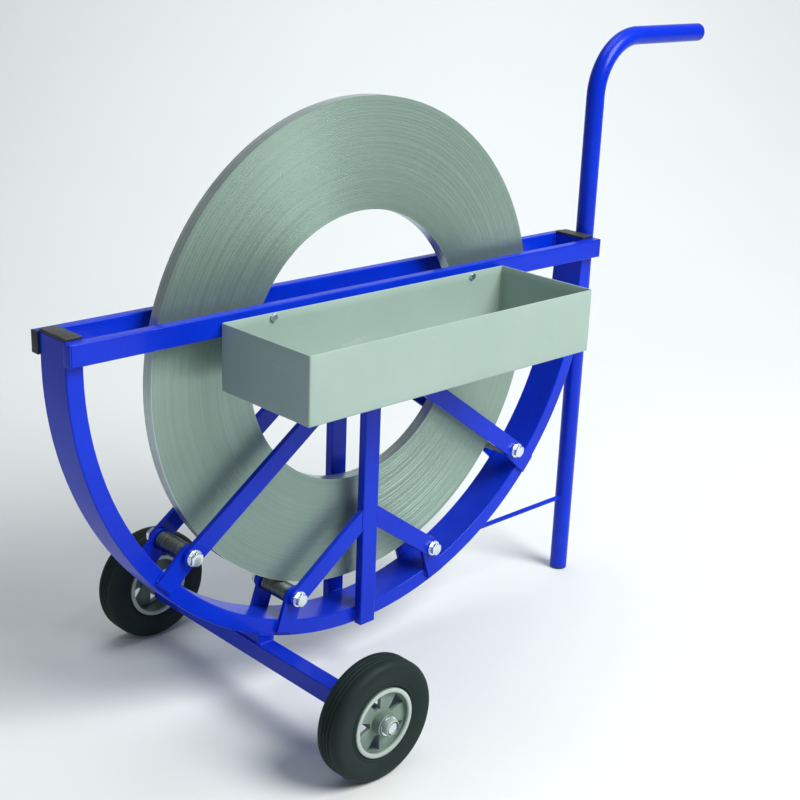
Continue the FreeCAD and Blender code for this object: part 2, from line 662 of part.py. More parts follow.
def makeTray():
    body = newBody("tool_tray")
    floor = newSketch(body, "XY_Plane")
    rectangle(floor, "size.tray_length", "size.tray_depth")
    solid = extrude(body, "Pad", floor, "size.tray_height")
    top = value("size.tray_height")

    def bend(edge):
        return not all(abs(vertex.Point.z - top) < 0.01 for vertex in edge.Vertexes)

    rounded = roundEdges(body, solid, "size.tray_corner", bend)
    inside = newSketch(body, "XY_Plane")
    inside.AttachmentOffset = FreeCAD.Placement(V(0, 0, 1), FreeCAD.Rotation())
    inside.setExpression("AttachmentOffset.Base.z", "size.tray_wall")
    rectangle(inside, "size.tray_length - 2 * size.tray_wall",
              "size.tray_depth - 2 * size.tray_wall")
    hollow = extrude(body, "Pocket", inside, reverse=True)
    assert hollow.Shape.Volume < rounded.Shape.Volume / 4
    holes = newSketch(body, "XZ_Plane")
    for side in (-1, 1):
        circle(holes, "size.screw_radius + size.hole_clearance",
               f"{side} * size.tray_screw_spacing / 2 - size.tray_shift",
               "place.screw_z - place.tray_low")
    drilled = extrude(body, "Pocket", holes, "size.tray_depth", reverse=False)
    assert drilled.Shape.Volume < hollow.Shape.Volume
    putAt(body, "size.tray_shift", "-place.face_y - size.tray_depth / 2", "place.tray_low")


def makeTrayScrews():
    screws, nuts = [], []
    seat = "-place.face_y - size.tray_wall"
    grip = "size.tray_wall + size.rail_depth + size.screw_nut + size.screw_overrun"
    for side in (-1, 1):
        x = f"{side} * size.tray_screw_spacing / 2"
        screw = hexBolt(f"tray_screw_{len(screws)}", "size.screw_flats", "size.screw_head",
                        "size.screw_radius", grip)
        screws.append(putAt(screw, x, f"{seat} - size.screw_head", "place.screw_z", ALONG_Y))
        nut = hexNut(f"tray_nut_{len(nuts)}", "size.screw_flats", "size.screw_radius",
                     "size.screw_nut")
        nuts.append(putAt(nut, x, "-place.side_y", "place.screw_z", ALONG_Y))
    group("tray_screws", screws)
    group("tray_nuts", nuts)


# Axle and wheels

def makeAxle():
    tube = boxTube("axle_tube", "size.axle_size", "size.axle_size",
                   "2 * place.axle_half", "size.axle_wall")
    putAt(tube, "-size.axle_x", "-place.axle_half", "size.wheel_radius", ALONG_Y)
    # the saddle fills the wedge between the flat tube and the round bow
    wedge = block("saddle_block", "size.axle_size", "size.bow_width", "size.bow_radius / 4")
    putAt(wedge, "-size.axle_x - size.axle_size / 2", "-place.side_y", "place.axle_top")
    drum = cylinder("saddle_trim", "size.bow_radius", "size.bow_width")
    putAt(drum, "0", "-place.side_y", "place.bow_z", ALONG_Y)
    keep(boolean("Cut", "axle_saddle", wedge, drum), "axle_saddle")
    shaft = cylinder("axle_shaft", "size.shaft_radius", "2 * place.shaft_half")
    keep(putAt(shaft, "-size.axle_x", "-place.shaft_half", "size.wheel_radius", ALONG_Y),
         "axle_shaft")


def makeAxleHardware():
    washers, retainers = [], []
    for side in (-1, 1):
        spots = [("inner", "place.axle_half"), ("outer", "place.hub_out + size.end_clearance")]
        for where, start in spots:
            washer = ring(f"{where}_washer_{len(washers)}", "size.axle_washer_radius",
                          "size.shaft_radius", "size.axle_washer_thickness")
            edge = start if side > 0 else f"-({start}) - size.axle_washer_thickness"
            washers.append(putAt(washer, "-size.axle_x", edge, "size.wheel_radius", ALONG_Y))
        dome = cylinder(f"retainer_dome_{side + 1}", "size.retainer_radius", "size.retainer_length")
        doc.recompute()
        cap = doc.addObject("Part::Fillet", f"retainer_cap_{side + 1}")
        cap.Base = dome
        far = value("size.retainer_length")
        radius = value("size.retainer_round")
        rims = [i for i, edge in enumerate(dome.Shape.Edges, start=1)
                if abs(edge.BoundBox.ZMin - far) < 0.01]
        cap.Edges = [(i, radius, radius) for i in rims]
        bore = cylinder(f"retainer_bore_{side + 1}", "size.shaft_radius",
                        "size.retainer_length - 2")
        clip = boolean("Cut", f"retainer_{side + 1}", cap, bore)
        start = "place.hub_out + place.washer_gap"
        turn = ALONG_Y if side > 0 else (V(1, 0, 0), 90)
        retainers.append(putAt(clip, "-size.axle_x", f"{side} * ({start})",
                               "size.wheel_radius", turn))
    group("axle_washers", washers)
    group("axle_retainers", retainers)


def revolveY(body, corners):
    """Turns an outline of (radius, distance along Y) about the body's Y axis."""
    sketch = newSketch(body, "XY_Plane")
    outline(sketch, corners)
    feature = body.newObject("PartDesign::Revolution", "Revolution")
    feature.Profile = sketch
    feature.ReferenceAxis = (sketch, ["V_Axis"])
    feature.Angle = 360
    sketch.Visibility = False
    doc.recompute()
    return feature


def makeTyre(label):
    body = newBody(label)
    half = "size.tyre_width / 2"
    ringShape = revolveY(body, [("size.rim_radius", f"-{half}"), ("size.wheel_radius", f"-{half}"),
                                ("size.wheel_radius", half), ("size.rim_radius", half)])
    radius = value("size.wheel_radius")
    roundEdges(body, ringShape, "size.tyre_shoulder",
               lambda edge: len(edge.Vertexes) == 1 and edge.Curve.Radius > radius - 0.01)
    return body


def makeRim(label):
    """Outer ring, web with windows, and a hub that stands out on both sides."""
    body = newBody(label)
    hub, ringHalf = "size.hub_width / 2", "size.rim_width / 2"
    webIn = "size.web_out - size.web_thickness"
    casting = revolveY(body, [
        ("size.hub_bore", f"-{hub}"), ("size.hub_radius", f"-{hub}"),
        ("size.hub_radius", webIn), ("place.ring_in", webIn),
        ("place.ring_in", f"-{ringHalf}"), ("size.rim_radius", f"-{ringHalf}"),
        ("size.rim_radius", ringHalf), ("place.ring_in", ringHalf),
        ("place.ring_in", "size.web_out"), ("size.hub_radius", "size.web_out"),
        ("size.hub_radius", hub), ("size.hub_bore", hub)])
    window = newSketch(body, "XZ_Plane")
    near = "size.hub_radius + size.window_margin"
    far = "place.ring_in - size.window_margin"
    outline(window, [(near, "-size.window_half_in"), (far, "-size.window_half_out"),
                     (far, "size.window_half_out"), (near, "size.window_half_in")])
    cut = extrude(body, "Pocket", window, "2 * size.hub_width", bothWays=True)
    assert cut.Shape.Volume < casting.Shape.Volume
    pattern = body.newObject("PartDesign::PolarPattern", "Windows")
    pattern.Originals = [cut]
    pattern.Axis = (originFeature(body, "Y_Axis"), [""])
    pattern.Angle = 360
    pattern.setExpression("Occurrences", "size.window_count")
    body.Tip = pattern
    doc.recompute()
    return body


def makeWheel(face, side):
    turn = HALF_TURN if side < 0 else None
    middle = f"{side} * size.wheel_y"
    for body in (makeTyre(f"{face}_tyre"), makeRim(f"{face}_rim")):
        putAt(body, "-size.axle_x", middle, "size.wheel_radius", turn)
    bushes = []
    for start in ("-size.hub_width / 2", "size.hub_width / 2 - size.wheel_bush_length"):
        bush = ring(f"{face}_bush_{len(bushes)}", "size.hub_bore",
                    "size.shaft_radius + size.run_clearance", "size.wheel_bush_length")
        bushes.append(putAt(bush, "-size.axle_x", f"{middle} + {start}",
                            "size.wheel_radius", ALONG_Y))
    group(f"{face}_wheel_bushes", bushes)


makeBow()
makeBowCap("left_bow_cap", -1)
makeBowCap("right_bow_cap", 1)
makeRails()
makeRailPlugs()
makePosts()
makeBars()
makeHandle()
makeHandlePlugs()
makeBrace()
makeRollers()
makeRollerHardware()
makeCoil()
makeTray()
makeTrayScrews()
makeAxle()
makeAxleHardware()
makeWheel("front", -1)
makeWheel("back", 1)
standOnMiddle()
doc.recompute()

for feature in doc.Objects:
    state = " ".join(feature.State)
    if "Invalid" in state or "Error" in state:
        raise RuntimeError(f"{feature.Label} failed to build: {state}")
for node in nodes:
    if node.Shape.isNull() or not node.Shape.isValid():
        raise RuntimeError(f"{node.Label} has no valid solid")

os.makedirs("parts", exist_ok=True)
for node in nodes:
    node.Shape.exportStep(f"parts/{node.Label}.step")
print(len(nodes), "nodes written")
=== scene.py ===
import json
import math
import random

import bmesh
import bpy
from mathutils import Matrix, Vector


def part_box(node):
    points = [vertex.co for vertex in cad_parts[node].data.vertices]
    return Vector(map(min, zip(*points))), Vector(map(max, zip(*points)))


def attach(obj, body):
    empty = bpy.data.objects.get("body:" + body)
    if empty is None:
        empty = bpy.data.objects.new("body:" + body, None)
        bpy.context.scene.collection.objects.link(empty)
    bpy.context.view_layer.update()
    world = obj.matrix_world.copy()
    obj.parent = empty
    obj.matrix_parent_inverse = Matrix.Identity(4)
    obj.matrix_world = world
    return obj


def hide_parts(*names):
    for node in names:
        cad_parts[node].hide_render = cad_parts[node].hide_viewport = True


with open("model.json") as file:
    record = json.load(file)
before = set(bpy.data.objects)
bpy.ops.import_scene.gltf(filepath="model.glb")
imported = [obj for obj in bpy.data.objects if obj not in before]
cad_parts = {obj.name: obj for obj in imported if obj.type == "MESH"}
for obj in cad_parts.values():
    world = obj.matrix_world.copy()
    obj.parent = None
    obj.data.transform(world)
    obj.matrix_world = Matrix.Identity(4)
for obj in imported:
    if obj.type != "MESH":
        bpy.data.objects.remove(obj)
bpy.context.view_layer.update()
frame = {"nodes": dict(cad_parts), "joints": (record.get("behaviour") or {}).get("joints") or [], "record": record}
cadNodes = frame["nodes"]
pivots = {joint["name"]: Vector(joint["pos_m"]) for joint in frame["joints"]}
random.seed(7)


# camera first: everything else is seen through it

def makeCamera():
    values = {
        "azimuth": -44.2,                     # degrees, left of straight on
        "elevation": 19.2,
        "roll": 2.2,
        "lens": 64.1,                         # mm on a 36 mm sensor
        "distance": 2.1046,
        "target": (-0.1053, -0.0625, 0.4416),
    }
    azimuth, elevation, roll = (math.radians(values[name]) for name in ("azimuth", "elevation", "roll"))
    back = Vector((math.sin(azimuth) * math.cos(elevation),
                   -math.cos(azimuth) * math.cos(elevation), math.sin(elevation)))
    level = (-back).cross(Vector((0, 0, 1))).normalized()
    upright = level.cross(-back)
    right = level * math.cos(roll) + upright * math.sin(roll)
    up = upright * math.cos(roll) - level * math.sin(roll)
    data = bpy.data.cameras.new("photoCamera")
    data.sensor_width = 36
    data.lens = values["lens"]
    data.clip_end = 60
    camera = bpy.data.objects.new("photoCamera", data)
    spot = Vector(values["target"]) + back * values["distance"]
    camera.matrix_world = Matrix.Translation(spot) @ Matrix((right, up, back)).transposed().to_4x4()
    bpy.context.scene.collection.objects.link(camera)
    bpy.context.scene.camera = camera
    print("camera placed")


# node helpers

def addNode(tree, kind, inputs=None, **settings):
    node = tree.nodes.new(kind)
    for name, setting in settings.items():
        setattr(node, name, setting)
    for key, content in (inputs or {}).items():
        if isinstance(content, bpy.types.NodeSocket):
            tree.links.new(content, node.inputs[key])
        else:
            node.inputs[key].default_value = content
    return node


def wire(tree, node, **outputs):
    # links into named sockets, with _ for a space in a socket's name
    for label, content in outputs.items():
        tree.links.new(content, node.inputs[label.replace("_", " ")])


def calculate(tree, operation, first, second=0.0, clamp=False):
    return addNode(tree, "ShaderNodeMath", {0: first, 1: second},
                   operation=operation, use_clamp=clamp).outputs[0]


def remap(tree, content, low, high, newLow=0.0, newHigh=1.0):
    return addNode(tree, "ShaderNodeMapRange",
                   {"Value": content, "From Min": low, "From Max": high,
                    "To Min": newLow, "To Max": newHigh}).outputs[0]


def mixColour(tree, factor, first, second, mode="MIX"):
    return addNode(tree, "ShaderNodeMix", {0: factor, 6: first, 7: second},
                   data_type="RGBA", blend_type=mode).outputs[2]


def noise(tree, vector, scale, detail=4.0, roughness=0.55):
    return addNode(tree, "ShaderNodeTexNoise", {"Vector": vector, "Scale": scale, "Detail": detail,
                                                "Roughness": roughness}).outputs["Fac"]


def objectPlace(tree):
    return addNode(tree, "ShaderNodeTexCoord").outputs["Object"]


def newGroup(name, inputs, outputs):
    tree = bpy.data.node_groups.new(name, "ShaderNodeTree")
    for label, kind, start in inputs:
        socket = tree.interface.new_socket(name=label, in_out="INPUT", socket_type=kind)
        if start is not None:
            socket.default_value = start
    for label, kind in outputs:
        tree.interface.new_socket(name=label, in_out="OUTPUT", socket_type=kind)
    return tree, tree.nodes.new("NodeGroupInput").outputs, tree.nodes.new("NodeGroupOutput")


floatSocket, vectorSocket = "NodeSocketFloat", "NodeSocketVector"


def buildEdgeWear():
    # finds edges by comparing the rounded normal with the true one, then breaks them up
    tree, given, result = newGroup("edgeWear",
                                   [("Radius", floatSocket, 0.0015), ("Amount", floatSocket, 0.5),
                                    ("Patches", floatSocket, 40.0)],
                                   [("Mask", floatSocket), ("Normal", vectorSocket)])
    rounded = addNode(tree, "ShaderNodeBevel", {"Radius": given["Radius"]}, samples=6)
    geometry = addNode(tree, "ShaderNodeNewGeometry")
    match = addNode(tree, "ShaderNodeVectorMath", {0: rounded.outputs[0], 1: geometry.outputs["Normal"]},
                    operation="DOT_PRODUCT").outputs["Value"]
    edge = remap(tree, match, 0.995, 0.85)
    place = objectPlace(tree)
    patches = noise(tree, place, given["Patches"], 6.0, 0.65)
    limit = calculate(tree, "SUBTRACT", 1.0, given["Amount"])
    low = calculate(tree, "SUBTRACT", limit, 0.12)
    high = calculate(tree, "ADD", limit, 0.12)
    worn = remap(tree, patches, low, high)
    wire(tree, result, Mask=calculate(tree, "MULTIPLY", edge, worn, True), Normal=rounded.outputs[0])
    return tree


def buildGrain():
    # two sizes of unevenness: a broad tone drift and a fine surface texture
    tree, given, result = newGroup("surfaceGrain",
                                   [("Broad", floatSocket, 3.0), ("Fine", floatSocket, 300.0)],
                                   [("Tone", floatSocket), ("Height", floatSocket)])
    place = objectPlace(tree)
    broad = noise(tree, place, given["Broad"], 3.0, 0.6)
    fine = noise(tree, place, given["Fine"], 2.0, 0.5)
    wire(tree, result, Tone=broad, Height=fine)
    return tree


def buildDust():
    # dust lies on faces that look up and creeps up from the floor
    tree, given, result = newGroup("settledDust",
                                   [("Amount", floatSocket, 0.3), ("Reach", floatSocket, 0.25)],
                                   [("Mask", floatSocket)])
    geometry = addNode(tree, "ShaderNodeNewGeometry")
    facing = addNode(tree, "ShaderNodeSeparateXYZ", {0: geometry.outputs["Normal"]}).outputs["Z"]
    height = addNode(tree, "ShaderNodeSeparateXYZ", {0: geometry.outputs["Position"]}).outputs["Z"]
    lying = remap(tree, facing, 0.55, 1.0)
    climbed = calculate(tree, "DIVIDE", height, given["Reach"])
    low = calculate(tree, "SUBTRACT", 1.0, climbed, True)
    place = objectPlace(tree)
    cloud = remap(tree, noise(tree, place, 14.0, 6.0, 0.7), 0.35, 0.75)
    both = calculate(tree, "MAXIMUM", calculate(tree, "MULTIPLY", lying, 0.6), low)
    dusty = calculate(tree, "MULTIPLY", both, cloud)
    wire(tree, result, Mask=calculate(tree, "MULTIPLY", dusty, given["Amount"], True))
    return tree


def buildScuffs():
    # short thin scratches in two directions
    tree, given, result = newGroup("scuffs", [("Amount", floatSocket, 0.3), ("Size", floatSocket, 8.0)],
                                   [("Mask", floatSocket)])
    place = objectPlace(tree)
    masks = []
    for turn, squeeze in (((0.3, 0.9, 0.2), (1, 26, 9)), ((1.1, -0.4, 0.7), (22, 1, 12))):
        stretched = addNode(tree, "ShaderNodeMapping",
                            {"Vector": place, "Rotation": turn, "Scale": squeeze})
        line = noise(tree, stretched.outputs[0], given["Size"], 3.0, 0.5)
        masks.append(remap(tree, line, 0.69, 0.74))
    both = calculate(tree, "MAXIMUM", masks[0], masks[1])
    wire(tree, result, Mask=calculate(tree, "MULTIPLY", both, given["Amount"], True))
    return tree


shared = {"edgeWear": buildEdgeWear(), "grain": buildGrain(),
          "dust": buildDust(), "scuffs": buildScuffs()}


def useGroup(tree, name, **inputs):
    node = tree.nodes.new("ShaderNodeGroup")
    node.node_tree = shared[name]
    for label, content in inputs.items():
        node.inputs[label].default_value = content
    return node.outputs


def newMaterial(name, **surface):
    material = bpy.data.materials.new(name)
    material.use_nodes = True
    tree = material.node_tree
    shader = tree.nodes["Principled BSDF"]
    for label, content in surface.items():
        shader.inputs[label.replace("_", " ")].default_value = content
    return material, tree, shader


def bump(tree, shader, height, distance, strength=1.0, normal=None):
    inputs = {"Height": height, "Distance": distance, "Strength": strength}
    if normal is not None:
        inputs["Normal"] = normal
    wire(tree, shader, Normal=addNode(tree, "ShaderNodeBump", inputs).outputs[0])


def paintedMaterial(name, values):
    # enamel over steel: tone drift, dust, scuffs, and bare metal along worn edges
    material, tree, shader = newMaterial(name, Coat_Roughness=values["coatRoughness"],
                                         Specular_IOR_Level=values["shine"])
    wear = useGroup(tree, "edgeWear", Radius=values["edge"], Amount=values["wear"],
                    Patches=values["patches"])
    grain = useGroup(tree, "grain", Broad=values["broad"], Fine=values["fine"])
    dust = useGroup(tree, "dust", Amount=values["dust"], Reach=values["dustReach"])
    scuffs = useGroup(tree, "scuffs", Amount=values["scuffs"], Size=values["scuffSize"])
    paint = mixColour(tree, remap(tree, grain["Tone"], 0.3, 0.7), values["dark"], values["light"])
    rubbed = mixColour(tree, scuffs["Mask"], paint, values["scuffed"])
    bare = mixColour(tree, wear["Mask"], rubbed, values["bare"])
    dusty = mixColour(tree, dust["Mask"], bare, values["dustColour"])
    smooth = remap(tree, grain["Tone"], 0.3, 0.7, values["gloss"], values["gloss"] + 0.1)
    rough = calculate(tree, "ADD", smooth, calculate(tree, "MULTIPLY", dust["Mask"], 0.5))
    scuffed = calculate(tree, "ADD", rough, calculate(tree, "MULTIPLY", scuffs["Mask"], 0.3), True)
    hidden = calculate(tree, "ADD", dust["Mask"], wear["Mask"])
    coat = calculate(tree, "SUBTRACT", values["coat"], hidden, True)
    wire(tree, shader, Base_Color=dusty, Roughness=scuffed, Metallic=wear["Mask"], Coat_Weight=coat)
    bump(tree, shader, grain["Height"], values["peel"], 0.6, wear["Normal"])
    return material


def makeBluePaint():
    return paintedMaterial("blueEnamel", {
        "dark": (0.0002, 0.018, 0.45, 1), "light": (0.0003, 0.030, 0.59, 1),
        "scuffed": (0.02, 0.09, 0.62, 1), "bare": (0.16, 0.22, 0.42, 1), "dustColour": (0.16, 0.21, 0.40, 1),
        "gloss": 0.26, "coat": 0.12, "coatRoughness": 0.05, "shine": 0.14, "edge": 0.0016, "wear": 0.26,
        "patches": 35.0, "broad": 5.0, "fine": 420.0, "peel": 0.00008, "dust": 0.16, "dustReach": 0.12,
        "scuffs": 0.16, "scuffSize": 9.0})


def makeTrayPaint():
    return paintedMaterial("greyEnamel", {
        "dark": (0.29, 0.39, 0.35, 1), "light": (0.32, 0.42, 0.385, 1),
        "scuffed": (0.42, 0.50, 0.46, 1), "bare": (0.50, 0.58, 0.55, 1), "dustColour": (0.38, 0.42, 0.37, 1),
        "gloss": 0.42, "coat": 0.08, "coatRoughness": 0.25, "shine": 0.3, "edge": 0.0014, "wear": 0.42,
        "patches": 45.0, "broad": 7.0, "fine": 520.0, "peel": 0.00006, "dust": 0.45, "dustReach": 0.01,
        "scuffs": 0.35, "scuffSize": 7.0})


def makeRimPaint(name, dark, light):
    return paintedMaterial(name, {
        "dark": dark, "light": light,
        "scuffed": (0.5, 0.56, 0.52, 1), "bare": (0.52, 0.56, 0.54, 1), "dustColour": (0.16, 0.18, 0.15, 1),
        "gloss": 0.36, "coat": 0.15, "coatRoughness": 0.2, "shine": 0.4, "edge": 0.0015, "wear": 0.40,
        "patches": 90.0, "broad": 22.0, "fine": 700.0, "peel": 0.00012, "dust": 0.5, "dustReach": 0.14,
        "scuffs": 0.3, "scuffSize": 20.0})


def makeStrapSteel():
    # the coil's faces are the strap's edges, so tone and height follow the distance from its axis
    values = {"wrap": 0.0012, "bands": 140.0, "dark": (0.24, 0.34, 0.295, 1),
              "light": (0.33, 0.435, 0.38, 1), "stain": (0.17, 0.22, 0.16, 1), "clouds": 6.0, "spots": 28.0,
              "spotShare": 0.35, "rough": (0.50, 0.42), "relief": 0.00005, "strength": 0.2}
    material, tree, shader = newMaterial("woundStrapSteel", Metallic=0.88)
    place = objectPlace(tree)
    flat = addNode(tree, "ShaderNodeVectorMath", {0: place, 1: (1, 0, 1)}, operation="MULTIPLY").outputs[0]
    reach = addNode(tree, "ShaderNodeVectorMath", {0: flat}, operation="LENGTH").outputs["Value"]
    ring = addNode(tree, "ShaderNodeCombineXYZ", {"X": reach}).outputs[0]
    bands = noise(tree, ring, values["bands"], 3.0, 0.6)
    turns = addNode(tree, "ShaderNodeTexWave", {"Vector": ring, "Scale": 0.05 / values["wrap"],
                                                "Distortion": 0.1, "Detail": 1.0}, wave_profile="SAW")
    cloud = noise(tree, place, values["clouds"], 5.0, 0.65)
    tone = calculate(tree, "ADD", calculate(tree, "MULTIPLY", bands, 0.75),
                     calculate(tree, "MULTIPLY", cloud, 0.35))
    steel = mixColour(tree, remap(tree, tone, 0.2, 0.9), values["dark"], values["light"])
    spots = noise(tree, place, values["spots"], 7.0, 0.75)
    stained = remap(tree, spots, 0.68, 0.80, 0.0, values["spotShare"])
    wire(tree, shader, Base_Color=mixColour(tree, stained, steel, values["stain"]),
         Roughness=remap(tree, tone, 0.3, 0.8, *values["rough"]))
    height = calculate(tree, "ADD", turns.outputs["Fac"], calculate(tree, "MULTIPLY", bands, 1.5))
    bump(tree, shader, height, values["relief"], values["strength"])
    return material


def makeStripEdge():
    # the flat outside of the last turn: blued strip with rolling lines along it
    values = {"dark": (0.36, 0.43, 0.42, 1), "light": (0.58, 0.66, 0.64, 1), "tint": (0.34, 0.40, 0.42, 1),
              "lines": (3, 420, 3), "rough": (0.22, 0.4), "relief": 0.00005, "strength": 0.5}
    material, tree, shader = newMaterial("stripFace", Metallic=0.75)
    place = objectPlace(tree)
    along = addNode(tree, "ShaderNodeMapping", {"Vector": place, "Scale": values["lines"]}).outputs[0]
    lines = noise(tree, along, 1.0, 4.0, 0.6)
    grain = useGroup(tree, "grain", Broad=9.0, Fine=600.0)
    base = mixColour(tree, remap(tree, lines, 0.3, 0.7), values["dark"], values["light"])
    tint = mixColour(tree, remap(tree, grain["Tone"], 0.45, 0.75), base, values["tint"])
    wire(tree, shader, Base_Color=tint, Roughness=remap(tree, lines, 0.3, 0.7, *values["rough"]))
    bump(tree, shader, lines, values["relief"], values["strength"])
    return material


def makeRubber():
    values = {"dark": (0.004, 0.013, 0.013, 1), "light": (0.011, 0.023, 0.022, 1),
              "scuffed": (0.045, 0.058, 0.054, 1), "dusty": (0.07, 0.085, 0.075, 1), "rough": (0.55, 0.75),
              "relief": 0.0002, "strength": 0.7}
    material, tree, shader = newMaterial("tyreRubber", Specular_IOR_Level=0.22)
    grain = useGroup(tree, "grain", Broad=16.0, Fine=850.0)
    dust = useGroup(tree, "dust", Amount=0.18, Reach=0.1)
    scuffs = useGroup(tree, "scuffs", Amount=0.25, Size=14.0)
    rubber = mixColour(tree, grain["Tone"], values["dark"], values["light"])
    rubbed = mixColour(tree, scuffs["Mask"], rubber, values["scuffed"])
    wire(tree, shader, Base_Color=mixColour(tree, dust["Mask"], rubbed, values["dusty"]),
         Roughness=remap(tree, grain["Tone"], 0.3, 0.7, *values["rough"]))
    bump(tree, shader, grain["Height"], values["relief"], values["strength"])
    return material


def makeZinc():
    values = {"dark": (0.60, 0.68, 0.74, 1), "light": (0.86, 0.90, 0.93, 1), "worn": (0.92, 0.93, 0.94, 1),
              "rough": (0.2, 0.38), "relief": 0.00004, "strength": 0.5}
    material, tree, shader = newMaterial("brightZinc", Metallic=1.0)
    wear = useGroup(tree, "edgeWear", Radius=0.0006, Amount=0.5, Patches=120.0)
    grain = useGroup(tree, "grain", Broad=60.0, Fine=900.0)
    zinc = mixColour(tree, grain["Tone"], values["dark"], values["light"])
    wire(tree, shader, Base_Color=mixColour(tree, wear["Mask"], zinc, values["worn"]),
         Roughness=remap(tree, grain["Tone"], 0.3, 0.7, *values["rough"]))
    bump(tree, shader, grain["Height"], values["relief"], values["strength"], wear["Normal"])
    return material


def makeTurnedSteel():
    # lathe lines run round each roller, so they repeat along Y
    values = {"dark": (0.035, 0.05, 0.04, 1), "light": (0.26, 0.30, 0.26, 1), "lines": (6, 520, 6),
              "rough": (0.25, 0.5), "relief": 0.00012, "strength": 0.7}
    material, tree, shader = newMaterial("turnedSteel", Metallic=0.9)
    place = objectPlace(tree)
    along = addNode(tree, "ShaderNodeMapping", {"Vector": place, "Scale": values["lines"]}).outputs[0]
    lines = noise(tree, along, 1.0, 5.0, 0.7)
    steel = mixColour(tree, remap(tree, lines, 0.35, 0.65), values["dark"], values["light"])
    wire(tree, shader, Base_Color=steel, Roughness=remap(tree, lines, 0.3, 0.7, *values["rough"]))
    bump(tree, shader, lines, values["relief"], values["strength"])
    return material


def makePlastic(name, dark, light, roughness):
    values = {"dusty": (0.3, 0.3, 0.28, 1), "spread": 0.15, "relief": 0.0001, "strength": 0.6}
    material, tree, shader = newMaterial(name)
    wear = useGroup(tree, "edgeWear", Radius=0.001, Amount=0.4, Patches=60.0)
    grain = useGroup(tree, "grain", Broad=25.0, Fine=1100.0)
    dust = useGroup(tree, "dust", Amount=0.3, Reach=0.05)
    moulded = mixColour(tree, grain["Tone"], dark, light)
    worn = tuple(min(1, channel * 1.8 + 0.02) for channel in light[:3]) + (1,)
    rubbed = mixColour(tree, wear["Mask"], moulded, worn)
    wire(tree, shader, Base_Color=mixColour(tree, dust["Mask"], rubbed, values["dusty"]),
         Roughness=remap(tree, grain["Tone"], 0.3, 0.7, roughness, roughness + values["spread"]))
    bump(tree, shader, grain["Height"], values["relief"], values["strength"], wear["Normal"])
    return material


finishes = {
    "frame_blue": makeBluePaint(),
    "tray_grey": makeTrayPaint(),
    "strap_steel": makeStrapSteel(),
    "strip_face": makeStripEdge(),
    "tyre_black": makeRubber(),
    # two copies of one grey rim paint: the darker one on the rim's web is painted shade, the lighter one on the
    # rolled lip and the shaft collars is painted highlight
    "rim_grey": makeRimPaint("rimPaintShadedCopy", (0.12, 0.18, 0.155, 1), (0.20, 0.27, 0.24, 1)),
    "rim_lit_copy": makeRimPaint("rimPaintLitCopy", (0.34, 0.42, 0.38, 1), (0.46, 0.54, 0.50, 1)),
    "zinc_hardware": makeZinc(),
    "black_plastic": makePlastic("blackPlastic", (0.008, 0.009, 0.011, 1), (0.02, 0.022, 0.026, 1), 0.42),
    "roller_steel": makeTurnedSteel(),
    "nylon": makePlastic("naturalNylon", (0.62, 0.60, 0.52, 1), (0.74, 0.72, 0.65, 1), 0.4),
}


def dressCadNodes():
    slots = {part["node"]: part["material_slot"] for part in frame["record"]["subparts"]}
    for name, node in cadNodes.items():
        node.data.materials.clear()
        node.data.materials.append(finishes[slots[name]])
    print("materials on", len(cadNodes), "CAD nodes")


# mesh helpers

def finishPiece(name, mesh, finish, body, origin=Vector(), replaced=(), smooth=35):
    bmesh.ops.recalc_face_normals(mesh, faces=mesh.faces)
    for vertex in mesh.verts:
        vertex.co -= origin
    data = bpy.data.meshes.new(name)
    mesh.to_mesh(data)
    mesh.free()
    piece = bpy.data.objects.new(name, data)
    piece.location = origin
    bpy.context.scene.collection.objects.link(piece)
    data.shade_smooth()
    data.set_sharp_from_angle(angle=math.radians(smooth))
    data.materials.append(finishes[finish])
    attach(piece, body)
    if replaced:
        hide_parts(*replaced)
    return piece


def arc(steps, sweep=math.pi / 2):
    # angles from 0 to sweep, both ends included
    return [sweep * step / steps for step in range(steps + 1)]


def joinLoops(mesh, here, following):
    # four-sided faces between two closed loops of as many points
    for index in range(len(here)):
        after = (index + 1) % len(here)
        mesh.faces.new((here[index], here[after], following[after], following[index]))


def skin(mesh, loops):
    # walls between neighbouring loops and a face at either end
    for here, following in zip(loops, loops[1:]):
        joinLoops(mesh, here, following)
    mesh.faces.new(loops[0][::-1])
    mesh.faces.new(loops[-1])


def spin(mesh, outline, centre, segments, axis="Y", flip=1):
    # turns a closed outline of (radius, distance along the axis) about the axis through centre
    rings = []
    for step in range(segments):
        angle = 2 * math.pi * step / segments
        across, up = math.cos(angle), math.sin(angle)
        ring = []
        for radius, along in outline:
            offset = {"X": Vector((along * flip, radius * across, radius * up)),
                      "Y": Vector((radius * across, along * flip, radius * up)),
                      "Z": Vector((radius * across, radius * up, along * flip))}[axis]
            ring.append(mesh.verts.new(centre + offset))
        rings.append(ring)
    for here, following in zip(rings, rings[1:] + rings[:1]):
        joinLoops(mesh, here, following)


def roundedBox(mesh, low, high, edge):
    centre = (low + high) / 2
    scale = Matrix.Diagonal((high - low).to_4d())
    made = bmesh.ops.create_cube(mesh, size=1, matrix=Matrix.Translation(centre) @ scale)
    edges = list({e for vertex in made["verts"] for e in vertex.link_edges})
    bmesh.ops.bevel(mesh, geom=edges, offset=edge, segments=3, profile=0.6, affect="EDGES")


# coil

